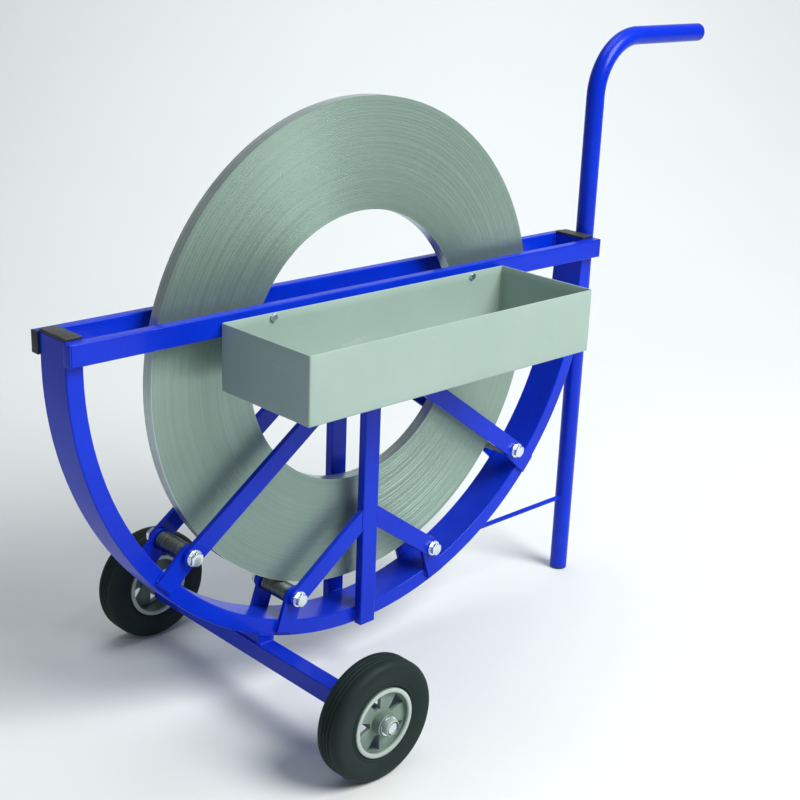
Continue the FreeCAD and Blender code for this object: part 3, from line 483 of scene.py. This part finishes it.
def makeCoil():
    values = {"bands": 74, "bore": 0.2032, "proud": 0.00012, "groove": 0.00014, "segments": 288,
              "rimInset": 0.0008, "bandStart": 0.12, "bandEnd": 0.92, "faceShare": 0.9}
    low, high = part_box("strap_coil")
    centre = pivots["coil_spin"]
    outer = (high.x - low.x) / 2 - values["rimInset"]
    inner = values["bore"]
    half = (high.y - low.y) / 2
    step = (outer - inner) / values["bands"]
    sides = []
    for face in (-1, 1):
        side = []
        for band in range(values["bands"]):
            proud = half - random.random() * values["proud"]
            start = inner + band * step
            side.append((start + step * values["bandStart"], face * proud))
            side.append((start + step * values["bandEnd"], face * proud))
            if band < values["bands"] - 1:
                side.append((start + step, face * (proud - values["groove"])))
        sides.append(side)
    outline = sides[0] + list(reversed(sides[1]))
    mesh = bmesh.new()
    spin(mesh, outline, centre, values["segments"])
    piece = finishPiece("coilWindings", mesh, "strap_steel", "coil", centre, ["strap_coil"], 30)
    piece.data.materials.append(finishes["strip_face"])
    rim = half * values["faceShare"]
    for face in piece.data.polygons:
        middle = face.center
        reach = math.hypot(middle.x, middle.z)
        if abs(middle.y) < rim and (reach > outer - step or reach < inner + step):
            face.material_index = 1
    makeStrapEnd(centre, outer, half)
    print("coil wound with", values["bands"], "bands")


def makeStrapEnd(centre, outer, half):
    # the last half turn lies on the coil and stops in a square cut end
    values = {"start": 150, "sweep": 200, "thickness": 0.0007, "steps": 120, "narrow": 0.0003,
              "sunk": 0.0004, "least": 0.00005, "rampTurns": 6}
    mesh = bmesh.new()
    rows = []
    for step in range(values["steps"] + 1):
        share = step / values["steps"]
        angle = math.radians(values["start"] + values["sweep"] * share)
        lift = values["thickness"] * min(1, share * values["rampTurns"])
        direction = Vector((math.cos(angle), 0, math.sin(angle)))
        low, high = outer - values["sunk"], outer + max(lift, values["least"])
        side = half - values["narrow"]
        rows.append([mesh.verts.new(centre + direction * reach + Vector((0, y, 0)))
                     for reach, y in ((low, -side), (high, -side), (high, side), (low, side))])
    skin(mesh, rows)
    finishPiece("strapEnd", mesh, "strip_face", "coil", centre, smooth=40)


# wheels

def tyreOutline(inner, outer, half):
    # half section from the bead out to the tread, mirrored afterwards
    values = {"shoulder": 0.011, "steps": 8, "grooveWidth": 0.0016, "grooveDepth": 0.00132,
              "grooves": (0.576, 0.0),                  # shares of the flat tread's half width
              "bead": ((0, 0.72), (0.002, 0.86), (0.0045, 0.90), (0.0065, 0.86), (0.0085, 0.90),
                       (0.014, 0.97)),                  # height above the rim, share of the half width
              "wall": 0.004}
    shoulder, width = values["shoulder"], values["grooveWidth"]
    side = [(inner + up, half * share) for up, share in values["bead"]]
    side.append((outer - shoulder - values["wall"], half))
    for angle in arc(values["steps"]):
        radius = outer - shoulder + shoulder * math.sin(angle)
        side.append((radius, half - shoulder + shoulder * math.cos(angle)))
    floor = outer - values["grooveDepth"]
    for at in values["grooves"]:
        middle = (half - shoulder) * at
        side += [(outer, middle + width), (floor, middle + width * 0.5)]
        if at:
            side += [(floor, middle - width * 0.5), (outer, middle - width)]
    return side


def makeTyre(face):
    values = {"segments": 144}
    low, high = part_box(f"{face}_tyre")
    centre = pivots[f"{face}_wheel_spin"]
    rimLow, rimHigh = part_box(f"{face}_rim")
    half = (high.y - low.y) / 2
    side = tyreOutline((rimHigh.z - rimLow.z) / 2, centre.z, half)
    mirrored = [(radius, -along) for radius, along in reversed(side)]
    mesh = bmesh.new()
    spin(mesh, side + mirrored, centre, values["segments"])
    finishPiece(f"{face}TyreMoulded", mesh, "tyre_black", f"{face}_wheel", centre, [f"{face}_tyre"], 40)


def makeRimLip(face):
    # rolled bead on both faces of the rim's ring, with a step down to the web
    values = {"proud": 0.0012, "width": 0.0062, "steps": 8, "ringFace": 0.020, "sunk": 0.003,
              "inset": 0.0002, "segments": 96}
    low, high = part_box(f"{face}_rim")
    centre = pivots[f"{face}_wheel_spin"]
    outer = (high.z - low.z) / 2 - values["inset"]
    half, ringFace = values["width"] / 2, values["ringFace"]
    mesh = bmesh.new()
    for side in (-1, 1):
        outline = []
        for angle in arc(values["steps"], math.pi):
            outline.append((outer - half + half * math.cos(angle),
                            side * (ringFace + values["proud"] * math.sin(angle))))
        outline.append((outer - values["width"], side * (ringFace - values["sunk"])))
        outline.append((outer, side * (ringFace - values["sunk"])))
        spin(mesh, outline, centre, values["segments"])
    # the lip takes the lighter copy of the rim paint: painted highlight
    finishPiece(f"{face}RimLip", mesh, "rim_lit_copy", f"{face}_wheel", centre, smooth=50)


def makeCollars():
    # push-on collars: a rounded ring round the shaft, which shows in its middle
    values = {"bore": 0.0094, "round": 0.0028, "inset": 0.0002, "edge": 0.0008, "steps": 6,
              "shaft": 0.0081, "floor": 0.002, "segments": 72}
    low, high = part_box("axle_retainers")
    washerLow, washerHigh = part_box("axle_washers")
    axis = pivots["front_wheel_spin"]
    inset, edge, bore, floor = (values[name] for name in ("inset", "edge", "bore", "floor"))
    radius = (high.z - low.z) / 2 - inset
    mesh = bmesh.new()
    for end, seat in ((low.y, washerLow.y), (high.y, washerHigh.y)):
        side = 1 if end > 0 else -1
        length = abs(end - seat) - inset
        outline = [(bore, 0), (radius - edge, 0), (radius, edge)]
        for angle in arc(values["steps"]):
            outline.append((radius - values["round"] * (1 - math.cos(angle)),
                            length - values["round"] * (1 - math.sin(angle))))
        outline += [(bore + edge / 2, length), (bore, length - 0.0005), (bore, floor)]
        outline += [(values["shaft"], floor - inset), (values["shaft"], inset)]
        spin(mesh, outline, Vector((axis.x, seat, axis.z)), values["segments"], flip=side)
    # the collars take the lighter copy of the rim paint: painted highlight
    finishPiece("shaftCollars", mesh, "rim_lit_copy", "frame", replaced=["axle_retainers"], smooth=50)


def makeWheels():
    for face in ("front", "back"):
        makeTyre(face)
        makeRimLip(face)
    makeCollars()
    print("tyres moulded, rims and collars turned")


def makeRollers():
    # tube turned with shallow grooves and broken ends
    values = {"wall": 0.003, "grooves": 11, "depth": 0.0006, "chamfer": 0.0009, "margin": 0.004,
              "segments": 64, "profile": ((0, 0), (0.18, 1), (0.32, 1), (0.5, 0))}
    wall, chamfer, margin = values["wall"], values["chamfer"], values["margin"]
    for level in ("upper", "lower"):
        for side in ("left", "right"):
            name = f"{level}_{side}_roller"
            low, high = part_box(name)
            centre = pivots[f"{name}_spin"]
            radius, half = (high.z - low.z) / 2, (high.y - low.y) / 2
            outline = [(radius - wall, -half), (radius - chamfer, -half), (radius, -half + chamfer)]
            pitch = 2 * (half - margin) / values["grooves"]
            for groove in range(values["grooves"]):
                at = -half + margin + groove * pitch
                outline += [(radius - values["depth"] * deep, at + pitch * share)
                            for share, deep in values["profile"]]
            outline += [(radius, half - chamfer), (radius - chamfer, half), (radius - wall, half)]
            mesh = bmesh.new()
            spin(mesh, outline, centre, values["segments"])
            finishPiece(f"{level}{side.title()}RollerTube", mesh, "roller_steel", f"roller_{level}_{side}",
                        centre, [name], 30)
    print("rollers turned")


# tray

def trayLoop(mesh, centre, halfX, halfY, corner, z, sag=0.0):
    # rounded rectangle seen from above; sag bends the walls in a little
    cornerSteps, endSteps, sideSteps = 5, 10, 26
    loop = []
    corners = [(1, -1, -90), (1, 1, 0), (-1, 1, 90), (-1, -1, 180)]
    middles = [Vector((signX * (halfX - corner), signY * (halfY - corner), 0))
               for signX, signY, start in corners]
    for index, (signX, signY, start) in enumerate(corners):
        for step in range(cornerSteps + 1):
            angle = math.radians(start + 90 * step / cornerSteps)
            outward = Vector((math.cos(angle), math.sin(angle), 0))
            loop.append(middles[index] + corner * outward)
        begin, finish = loop[-1], middles[(index + 1) % 4] + corner * outward
        steps = sideSteps if index % 2 else endSteps
        for step in range(1, steps):
            share = step / steps
            dent = sag * math.sin(math.pi * share) * (0.7 + 0.3 * math.sin(5 * share + index))
            loop.append(begin.lerp(finish, share) - outward * dent)
    return [mesh.verts.new(centre + Vector((point.x, point.y, z))) for point in loop]


def makeTray():
    values = {"wall": 0.002, "bend": 0.0025, "inner": 0.0012, "lip": 0.0009, "sag": 0.0007, "rows": 7,
              "bendSteps": 4, "lipSteps": 6, "innerSteps": 3, "seam": 0.0014, "seamInset": 0.0006,
              "seamStart": 0.003, "seamEnd": 0.006, "cornerExtra": 0.0005, "cornerShare": 0.8}
    low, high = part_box("tool_tray")
    centre = Vector(((low.x + high.x) / 2, (low.y + high.y) / 2, low.z))
    halfX, halfY, height = (high.x - low.x) / 2, (high.y - low.y) / 2, high.z - low.z
    wall, bend, inner = values["wall"], values["bend"], values["inner"]
    lip, sag, rows = values["lip"], values["sag"], values["rows"]
    mesh = bmesh.new()
    loops = []

    def level(inset, corner, z, dent=0.0):
        loops.append(trayLoop(mesh, centre, halfX - inset, halfY - inset, corner, z, dent))

    for angle in arc(values["bendSteps"]):                # outer bend
        inset = bend * (1 - math.sin(angle))
        corner = bend + values["cornerExtra"] - inset * values["cornerShare"]
        level(inset, corner, bend * (1 - math.cos(angle)))
    for row in range(1, rows + 1):                        # outer wall
        share = row / rows
        level(0, bend, bend + (height - lip - bend) * share, sag * share ** 1.5)
    for angle in arc(values["lipSteps"], math.pi)[1:-1]:  # rim
        level(lip * (1 - math.cos(angle)), bend, height - lip + lip * math.sin(angle), sag)
    for row in reversed(range(rows + 1)):                 # inner wall
        share = row / rows
        level(wall, inner, bend + wall + (height - lip - bend - wall) * share, sag * share ** 1.5)
    for angle in arc(values["innerSteps"])[1:]:           # inner bend
        level(wall + bend * (1 - math.cos(angle)), inner, wall + bend * (1 - math.sin(angle)))
    skin(mesh, loops)
    finishPiece("foldedTray", mesh, "tray_grey", "frame", replaced=["tool_tray"], smooth=45)
    seams = bmesh.new()
    inset = wall + values["seamInset"]
    start, end = (Vector((0, 0, z)) for z in (wall + values["seamStart"], height - values["seamEnd"]))
    for signX in (-1, 1):                                 # corner seams, welded inside
        for signY in (-1, 1):
            spot = centre + Vector((signX * (halfX - inset), signY * (halfY - inset), 0))
            lay(seams, spot + start, spot + end, values["seam"])
    finishPiece("traySeams", seams, "tray_grey", "frame", smooth=60)
    print("tray folded")


# welds

def lay(mesh, start, end, radius, ripple=0.16):
    # rippled bead laid from start to end, tapering at both ends
    start, end = Vector(start), Vector(end)
    values = {"sides": 8, "pitch": 0.55, "least": 6, "end": 0.35, "ramp": 3.0, "taper": 4, "wave": 1.9,
              "uneven": 0.06}
    along = end - start
    length = along.length
    along.normalize()
    helper = Vector((0, 1, 0)) if abs(along.y) < 0.9 else Vector((1, 0, 0))
    first = along.cross(helper).normalized()
    second = along.cross(first)
    sides, uneven = values["sides"], values["uneven"]
    steps = max(values["least"], int(length / (radius * values["pitch"])))
    rampLength = max(radius * values["taper"], 0.001)
    rings = []
    for step in range(steps + 1):
        share = step / steps
        taper = min(1.0, values["end"] + values["ramp"] * min(share, 1 - share) * length / rampLength)
        wave = ripple * math.sin(step * values["wave"])
        size = radius * taper * (1 + wave + random.uniform(-uneven, uneven))
        spot = start.lerp(end, share)
        rings.append([mesh.verts.new(spot + (first * math.cos(turn) + second * math.sin(turn)) * size)
                      for turn in (math.pi * 2 * corner / sides for corner in range(sides))])
    skin(mesh, rings)


def bowCircle():
    # middle, height and outer radius of the bow's half circle
    left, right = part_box("left_bow_cap")[0].x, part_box("right_bow_cap")[1].x
    radius = (right - left) / 2
    return (left + right) / 2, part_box("front_post")[0].z + radius, radius


def makeFrameWelds():
    values = {"bead": 0.0024, "fine": 0.0019, "rail": 0.0014, "arm": 0.0017,
              "face": 0.0302, "bracketFace": 0.0303, "armFace": 0.0434, "outerFace": 0.0446,
              "boreSide": 0.475, "railEnd": 0.002, "railTop": 0.003,
              "postUnder": (0.031, 0.044), "postStart": 0.003, "postEnd": 0.0245, "postAcross": 0.0255,
              "postInset": 0.002, "bracketStart": 0.4755, "bracketEnd": 0.493, "bracketHalf": 0.016,
              "inset": 0.001, "armHalf": 0.014, "mitreTries": 8}
    bowX, bowZ, bowRadius = bowCircle()
    centre = Vector((bowX, 0, bowZ))
    postLow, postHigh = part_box("front_post")
    railLow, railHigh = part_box("front_rail")
    bead, fine, inset = values["bead"], values["fine"], values["inset"]
    mesh = bmesh.new()

    for side in (-1, 1):
        face = side * values["face"]
        for end in (-1, 1):                   # rails on the bow's ends
            outer, inner = bowX + end * bowRadius, bowX + end * values["boreSide"]
            lay(mesh, (outer - end * values["railEnd"], face, railLow.z), (inner, face, railLow.z), bead)
            lay(mesh, (inner, face, railLow.z), (inner, face, railHigh.z - values["railTop"]), bead)
        for x in (postLow.x, postHigh.x):     # posts on the bow and under the rails
            bottom, top = postLow.z + values["postStart"], postLow.z + values["postEnd"]
            lay(mesh, (x, face, bottom), (x, face, top), bead)
            nearY, farY = (side * reach for reach in values["postUnder"])
            lay(mesh, (x, nearY, railLow.z), (x, farY, railLow.z), fine)
        height, short = postLow.z + values["postAcross"], values["postInset"]
        lay(mesh, (postLow.x + short, face, height), (postHigh.x - short, face, height), bead)
        outerFace = side * values["outerFace"]
        lay(mesh, (postLow.x, outerFace, railLow.z), (postHigh.x, outerFace, railLow.z), values["rail"])
    start, end = values["bracketStart"], values["bracketEnd"]
    for name, pivot in pivots.items():        # brackets on the bow, arms on the posts
        if not name.endswith("roller_spin"):
            continue
        outward = (Vector((pivot.x, 0, pivot.z)) - centre).normalized()
        across = Vector((-outward.z, 0, outward.x))
        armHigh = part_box(name.replace("_roller_spin", "_front_arm"))[1]
        postX = postLow.x if pivot.x < bowX else postHigh.x
        rise = 0.0
        for attempt in range(values["mitreTries"]):       # settles the mitre's half height
            slope = (armHigh.z - rise - pivot.z) / abs(postX - pivot.x)
            rise = values["armHalf"] * math.hypot(1, slope)

        def bracketSpot(reach, offset, side):
            return centre + outward * reach + offset + Vector((0, side * values["bracketFace"], 0))

        for side in (-1, 1):
            for edge in (-1, 1):
                offset = across * (edge * values["bracketHalf"])
                lay(mesh, bracketSpot(start, offset, side), bracketSpot(end, offset, side), fine)
            offset = across * (values["bracketHalf"] - inset)
            lay(mesh, bracketSpot(end, offset, side), bracketSpot(end, -offset, side), fine)
            armFace = side * values["armFace"]
            bottom, top = armHigh.z - 2 * rise + inset, armHigh.z - inset
            lay(mesh, (postX, armFace, top), (postX, armFace, bottom), values["arm"])
    finishPiece("frameWelds", mesh, "frame_blue", "frame", smooth=60)


def makeUnderWelds():
    values = {"bead": 0.0024, "fine": 0.0019, "endInset": 0.001, "sideInset": 0.002,
              "ring": 0.0014, "ringRadius": 0.0046, "ringSteps": 10, "ringRipple": 0.08,
              "braceAtLeg": 0.0004, "braceAtBow": 0.0008,
              "legSides": (-0.0085, 0.0085), "legOut": 0.0012, "legBottom": 0.030, "legTop": 0.012}
    bowX, bowZ, bowRadius = bowCircle()
    bead, fine = values["bead"], values["fine"]
    mesh = bmesh.new()

    low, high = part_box("axle_saddle")
    for x in (low.x, high.x):
        lay(mesh, (x, low.y + values["sideInset"], low.z), (x, high.y - values["sideInset"], low.z), bead)
    for y in (low.y, high.y):
        lay(mesh, (low.x + values["endInset"], y, low.z), (high.x - values["endInset"], y, low.z), bead)
        lowReach, highReach = (math.sqrt(bowRadius ** 2 - (x - bowX) ** 2) for x in (low.x, high.x))
        lay(mesh, (low.x, y, bowZ - lowReach), (high.x, y, bowZ - highReach), fine)
    braceLow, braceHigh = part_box("leg_brace")
    footLow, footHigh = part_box("leg_foot")
    legX, legRadius = (footLow.x + footHigh.x) / 2, (footHigh.x - footLow.x) / 2
    braceZ = (braceLow.z + braceHigh.z) / 2
    bowEdge = bowX + math.sqrt(bowRadius ** 2 - (bowZ - braceZ) ** 2)
    bowLean = (bowZ - braceZ) / (bowEdge - bowX)
    radius, steps = values["ringRadius"], values["ringSteps"]
    for x, lean in ((legX - legRadius - values["braceAtLeg"], 0),
                    (bowEdge + values["braceAtBow"], bowLean)):
        ring = [Vector((x + lean * radius * math.sin(turn), radius * math.cos(turn),
                        braceZ + radius * math.sin(turn)))
                for turn in (math.pi * 2 * step / steps for step in range(steps + 1))]
        for here, following in zip(ring, ring[1:]):
            lay(mesh, here, following, values["ring"], values["ringRipple"])
    legFace = bowX + bowRadius + values["legOut"]
    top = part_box("left_bow_cap")[0].z + values["legTop"]
    for y in values["legSides"]:              # leg on the bow's end
        lay(mesh, (legFace, y, bowZ - values["legBottom"]), (legFace, y, top), bead)
    finishPiece("underWelds", mesh, "frame_blue", "frame", smooth=60)
    print("welds laid")


# hardware

def hexOutline(flats, segments=48):
    apothem = flats / 2
    for step in range(segments):
        angle = 2 * math.pi * step / segments
        inSector = (angle + math.pi / 6) % (math.pi / 3) - math.pi / 6
        yield angle, apothem / math.cos(inSector)


def hexSolid(mesh, seat, direction, flats, height, hole=0.0, bothEnds=False):
    # hexagon with chamfered corners; seat is its underside, direction +1 or -1 along Y
    values = {"face": 0.96, "slope": math.tan(math.radians(30)), "mouth": 0.0006, "holeEnd": 0.5,
              "crown": ((0.55, 0.0002), (0.15, 0.0003))}  # share of the half width, rise
    apothem, slope = flats / 2, values["slope"]
    flat = apothem * values["face"]
    levels = []

    def level(rule):
        ring = []
        for angle, reach in hexOutline(flats):
            radius, along = rule(reach)
            ring.append(mesh.verts.new(seat + Vector((radius * math.cos(angle), direction * along,
                                                      radius * math.sin(angle)))))
        levels.append(ring)

    if bothEnds:
        level(lambda reach: (flat, 0))
        level(lambda reach: (reach, (reach - flat) * slope))
    else:
        level(lambda reach: (reach, 0))
    level(lambda reach: (reach, height - (reach - flat) * slope))
    level(lambda reach: (flat, height))
    if hole:
        level(lambda reach: (hole, height - values["mouth"]))
        level(lambda reach: (hole, height * values["holeEnd"]))
    else:
        for share, rise in values["crown"]:
            level(lambda reach: (apothem * share, height + rise))
    skin(mesh, levels)


def threadedRod(mesh, start, end, radius, pitch, threadLength):
    # plain shank that ends in a run of thread; start and end lie on a line along Y
    values = {"axis": 0.0002, "root": 0.9, "tip": 0.85, "segments": 24,
              "rootStart": 0.35, "rootEnd": 0.55, "crest": 0.9}       # shares of the pitch
    direction = 1 if end.y > start.y else -1
    length = abs(end.y - start.y)
    axis, root = values["axis"], radius * values["root"]
    outline = [(axis, 0), (radius, 0), (radius, length - threadLength)]
    for turn in range(int(threadLength / pitch)):
        at = length - threadLength + turn * pitch
        outline += [(root, at + pitch * values["rootStart"]), (root, at + pitch * values["rootEnd"]),
                    (radius, at + pitch * values["crest"])]
    outline += [(radius * values["tip"], length), (axis, length)]
    spin(mesh, outline, start, values["segments"], flip=direction)


def makeFasteners(boltNode, nutNode, places, values):
    # a bolt and its nut at each place; a head's underside lies cadHead from the CAD bolt's end
    nutInset, play = 0.0004, 0.0002
    low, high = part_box(boltNode)
    nutLow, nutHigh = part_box(nutNode)
    seat = low.y + values["cadHead"]
    nutHeight = nutHigh.y - nutLow.y - nutInset
    bolts, nuts = bmesh.new(), bmesh.new()
    for x, z in places:
        head = Vector((x, seat, z))
        hexSolid(bolts, head, -1, values["flats"], values["head"])
        tip = Vector((x, high.y, z))
        threadedRod(bolts, head, tip, values["radius"], values["pitch"], values["thread"])
        hexSolid(nuts, Vector((x, nutLow.y, z)), 1, values["flats"], nutHeight,
                 values["radius"] + play, bothEnds=True)
    for node, mesh in ((boltNode, bolts), (nutNode, nuts)):
        owner, kind = node.split("_")
        finishPiece(owner + kind.title(), mesh, "zinc_hardware", "frame", replaced=[node])


def makeRollerBolts():
    values = {"flats": 0.018, "head": 0.0072, "cadHead": 0.0075, "radius": 0.006, "pitch": 0.00175,
              "thread": 0.026}
    places = [(pivot.x, pivot.z) for name, pivot in pivots.items() if name.endswith("roller_spin")]
    makeFasteners("roller_bolts", "roller_nuts", places, values)


def makeTrayScrews():
    values = {"flats": 0.010, "head": 0.0037, "cadHead": 0.004, "radius": 0.003, "pitch": 0.001,
              "thread": 0.016}
    low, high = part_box("tray_screws")
    middle, corner = (low.z + high.z) / 2, values["flats"] / math.sqrt(3)
    places = [(low.x + corner, middle), (high.x - corner, middle)]
    makeFasteners("tray_screws", "tray_nuts", places, values)


def makeRailPlugs():
    values = {"edge": 0.0012, "cover": 0.003, "tube": 0.0019, "neckStart": 0.002, "neckEnd": 0.016,
              "neckEdge": 0.0005}
    low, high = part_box("rail_end_plugs")
    railLow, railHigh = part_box("front_rail")
    depth = railHigh.y - railLow.y
    parts = ((0, values["cover"], 0, values["edge"]),
             (values["neckStart"], values["neckEnd"], values["tube"], values["neckEdge"]))
    for endName, x in (("Left", low.x), ("Right", high.x)):
        inward = 1 if endName == "Left" else -1
        for faceName, y in (("front", low.y), ("back", high.y - depth)):
            mesh = bmesh.new()
            for start, end, inset, edge in parts:
                near, far = sorted((x + inward * start, x + inward * end))
                roundedBox(mesh, Vector((near, y + inset, low.z + inset)),
                           Vector((far, y + depth - inset, high.z - inset)), edge)
            painted = (endName, faceName) == ("Left", "front")
            finishPiece(f"{faceName}{endName}RailPlug", mesh, "frame_blue" if painted else "black_plastic",
                        "frame", replaced=["rail_end_plugs"] if painted else [])


def makeHandlePlug():
    values = {"cover": 0.003, "neck": 0.0022, "rim": 0.0002, "axis": 0.0002, "dome": 0.0022, "steps": 6,
              "segments": 48}
    low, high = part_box("handle_end_plug")
    radius = (high.z - low.z) / 2
    centre = Vector((0, (low.y + high.y) / 2, (low.z + high.z) / 2))
    neck, rim, axis, dome = radius - values["neck"], radius - values["rim"], values["axis"], values["dome"]
    seat = high.x - values["cover"]
    outline = [(axis, low.x), (neck, low.x), (neck, seat), (rim, seat), (rim, high.x - dome)]
    for angle in arc(values["steps"])[1:]:
        outline.append((max(axis, rim * math.cos(angle)), high.x - dome + dome * math.sin(angle)))
    mesh = bmesh.new()
    spin(mesh, outline, centre, values["segments"], axis="X")
    finishPiece("handlePlugDome", mesh, "black_plastic", "frame", replaced=["handle_end_plug"], smooth=50)


def makeLegFoot():
    values = {"inset": 0.0001, "neck": 0.0022, "flange": 0.003, "axis": 0.0002, "segments": 48,
              "edge": ((0.0006, 0.0006), (0, 0.0018))}    # how far in and how far up
    low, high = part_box("leg_foot")
    centre = Vector(((low.x + high.x) / 2, (low.y + high.y) / 2, 0))
    radius = (high.x - low.x) / 2 - values["inset"]
    neck, flange, axis = radius - values["neck"], values["flange"], values["axis"]
    outline = [(axis, 0), (neck, 0)] + [(radius - inward, up) for inward, up in values["edge"]]
    outline += [(radius, flange), (neck, flange), (neck, high.z), (axis, high.z)]
    mesh = bmesh.new()
    spin(mesh, outline, centre, values["segments"], axis="Z")
    finishPiece("legFootMoulded", mesh, "black_plastic", "frame", replaced=["leg_foot"], smooth=40)


def makeCaps():
    values = {"edge": 0.0013, "flange": 0.004, "inset": 0.0027, "neckTop": 0.002, "neckEdge": 0.0005}
    inset = Vector((values["inset"], values["inset"], 0))
    for side in ("left", "right"):
        low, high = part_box(f"{side}_bow_cap")
        mesh = bmesh.new()
        roundedBox(mesh, Vector((low.x, low.y, high.z - values["flange"])), high, values["edge"])
        neckTop = Vector((high.x, high.y, high.z - values["neckTop"]))
        roundedBox(mesh, low + inset, neckTop - inset, values["neckEdge"])
        finishPiece(f"{side}BowCap", mesh, "black_plastic", "frame", replaced=[f"{side}_bow_cap"])
    print("caps and hardware made")


# lights, floor

def makeStage():
    # a pale floor that curves up into a backdrop behind the cart
    values = {"dark": (0.72, 0.75, 0.755, 1), "light": (0.75, 0.775, 0.78, 1), "azimuth": -44.2,
              "near": -9.0, "depth": 1.6, "half": 9.0, "bend": 4.2, "rise": 8.0, "steps": 16}
    azimuth = math.radians(values["azimuth"])
    away = Vector((-math.sin(azimuth), math.cos(azimuth), 0))
    across = Vector((away.y, -away.x, 0))
    path = [(values["near"], 0.0), (values["depth"], 0.0)]
    for angle in arc(values["steps"])[1:]:
        path.append((values["depth"] + values["bend"] * math.sin(angle),
                     values["bend"] * (1 - math.cos(angle))))
    path.append((values["depth"] + values["bend"], values["rise"]))
    mesh = bmesh.new()
    rows = [[mesh.verts.new(away * far + across * side + Vector((0, 0, up - 0.0002)))
             for side in (-values["half"], values["half"])] for far, up in path]
    for here, following in zip(rows, rows[1:]):
        mesh.faces.new((here[0], here[1], following[1], following[0]))
    data = bpy.data.meshes.new("studioFloor")
    mesh.to_mesh(data)
    mesh.free()
    data.shade_smooth()
    floor = bpy.data.objects.new("studioFloor", data)
    bpy.context.scene.collection.objects.link(floor)
    material, tree, shader = newMaterial("paperFloor", Roughness=0.85, Specular_IOR_Level=0.1)
    place = objectPlace(tree)
    tone = noise(tree, place, 1.5, 2.0)
    wire(tree, shader, Base_Color=mixColour(tree, tone, values["dark"], values["light"]))
    data.materials.append(material)


def addLight(name, spot, aim, size, watts, colour):
    data = bpy.data.lights.new(name, "AREA")
    data.shape = "DISK"
    data.size = size
    data.energy = watts
    data.color = colour
    light = bpy.data.objects.new(name, data)
    light.location = spot
    light.rotation_euler = (Vector(aim) - Vector(spot)).to_track_quat("-Z", "Y").to_euler()
    bpy.context.scene.collection.objects.link(light)


def makeLights():
    values = {"keyLight": ((0.7, -2.8, 3.1), (-0.1, 0, 0.4), 2.4, 205, (1.0, 0.99, 0.96)),
              "topLight": ((0.0, 0.5, 3.8), (-0.2, 0.3, 0.2), 2.6, 45, (0.95, 0.98, 1.0)),
              "backdropLight": ((1.4, 1.2, 3.4), (3.9, 4.0, 1.3), 2.6, 72, (0.97, 0.99, 1.0))}
    sky = {"Color": (0.86, 0.92, 0.95, 1), "Strength": 0.235}
    for name, settings in values.items():
        addLight(name, *settings)
    world = bpy.data.worlds.new("studioWorld")
    bpy.context.scene.world = world
    world.use_nodes = True
    for label, content in sky.items():
        world.node_tree.nodes["Background"].inputs[label].default_value = content
    bpy.context.scene.view_settings.view_transform = "Standard"
    print("stage lit")


makeCamera()
dressCadNodes()
makeCoil()
makeWheels()
makeRollers()
makeTray()
makeRollerBolts()
makeTrayScrews()
makeRailPlugs()
makeHandlePlug()
makeLegFoot()
makeCaps()
makeFrameWelds()
makeUnderWelds()
makeStage()
makeLights()
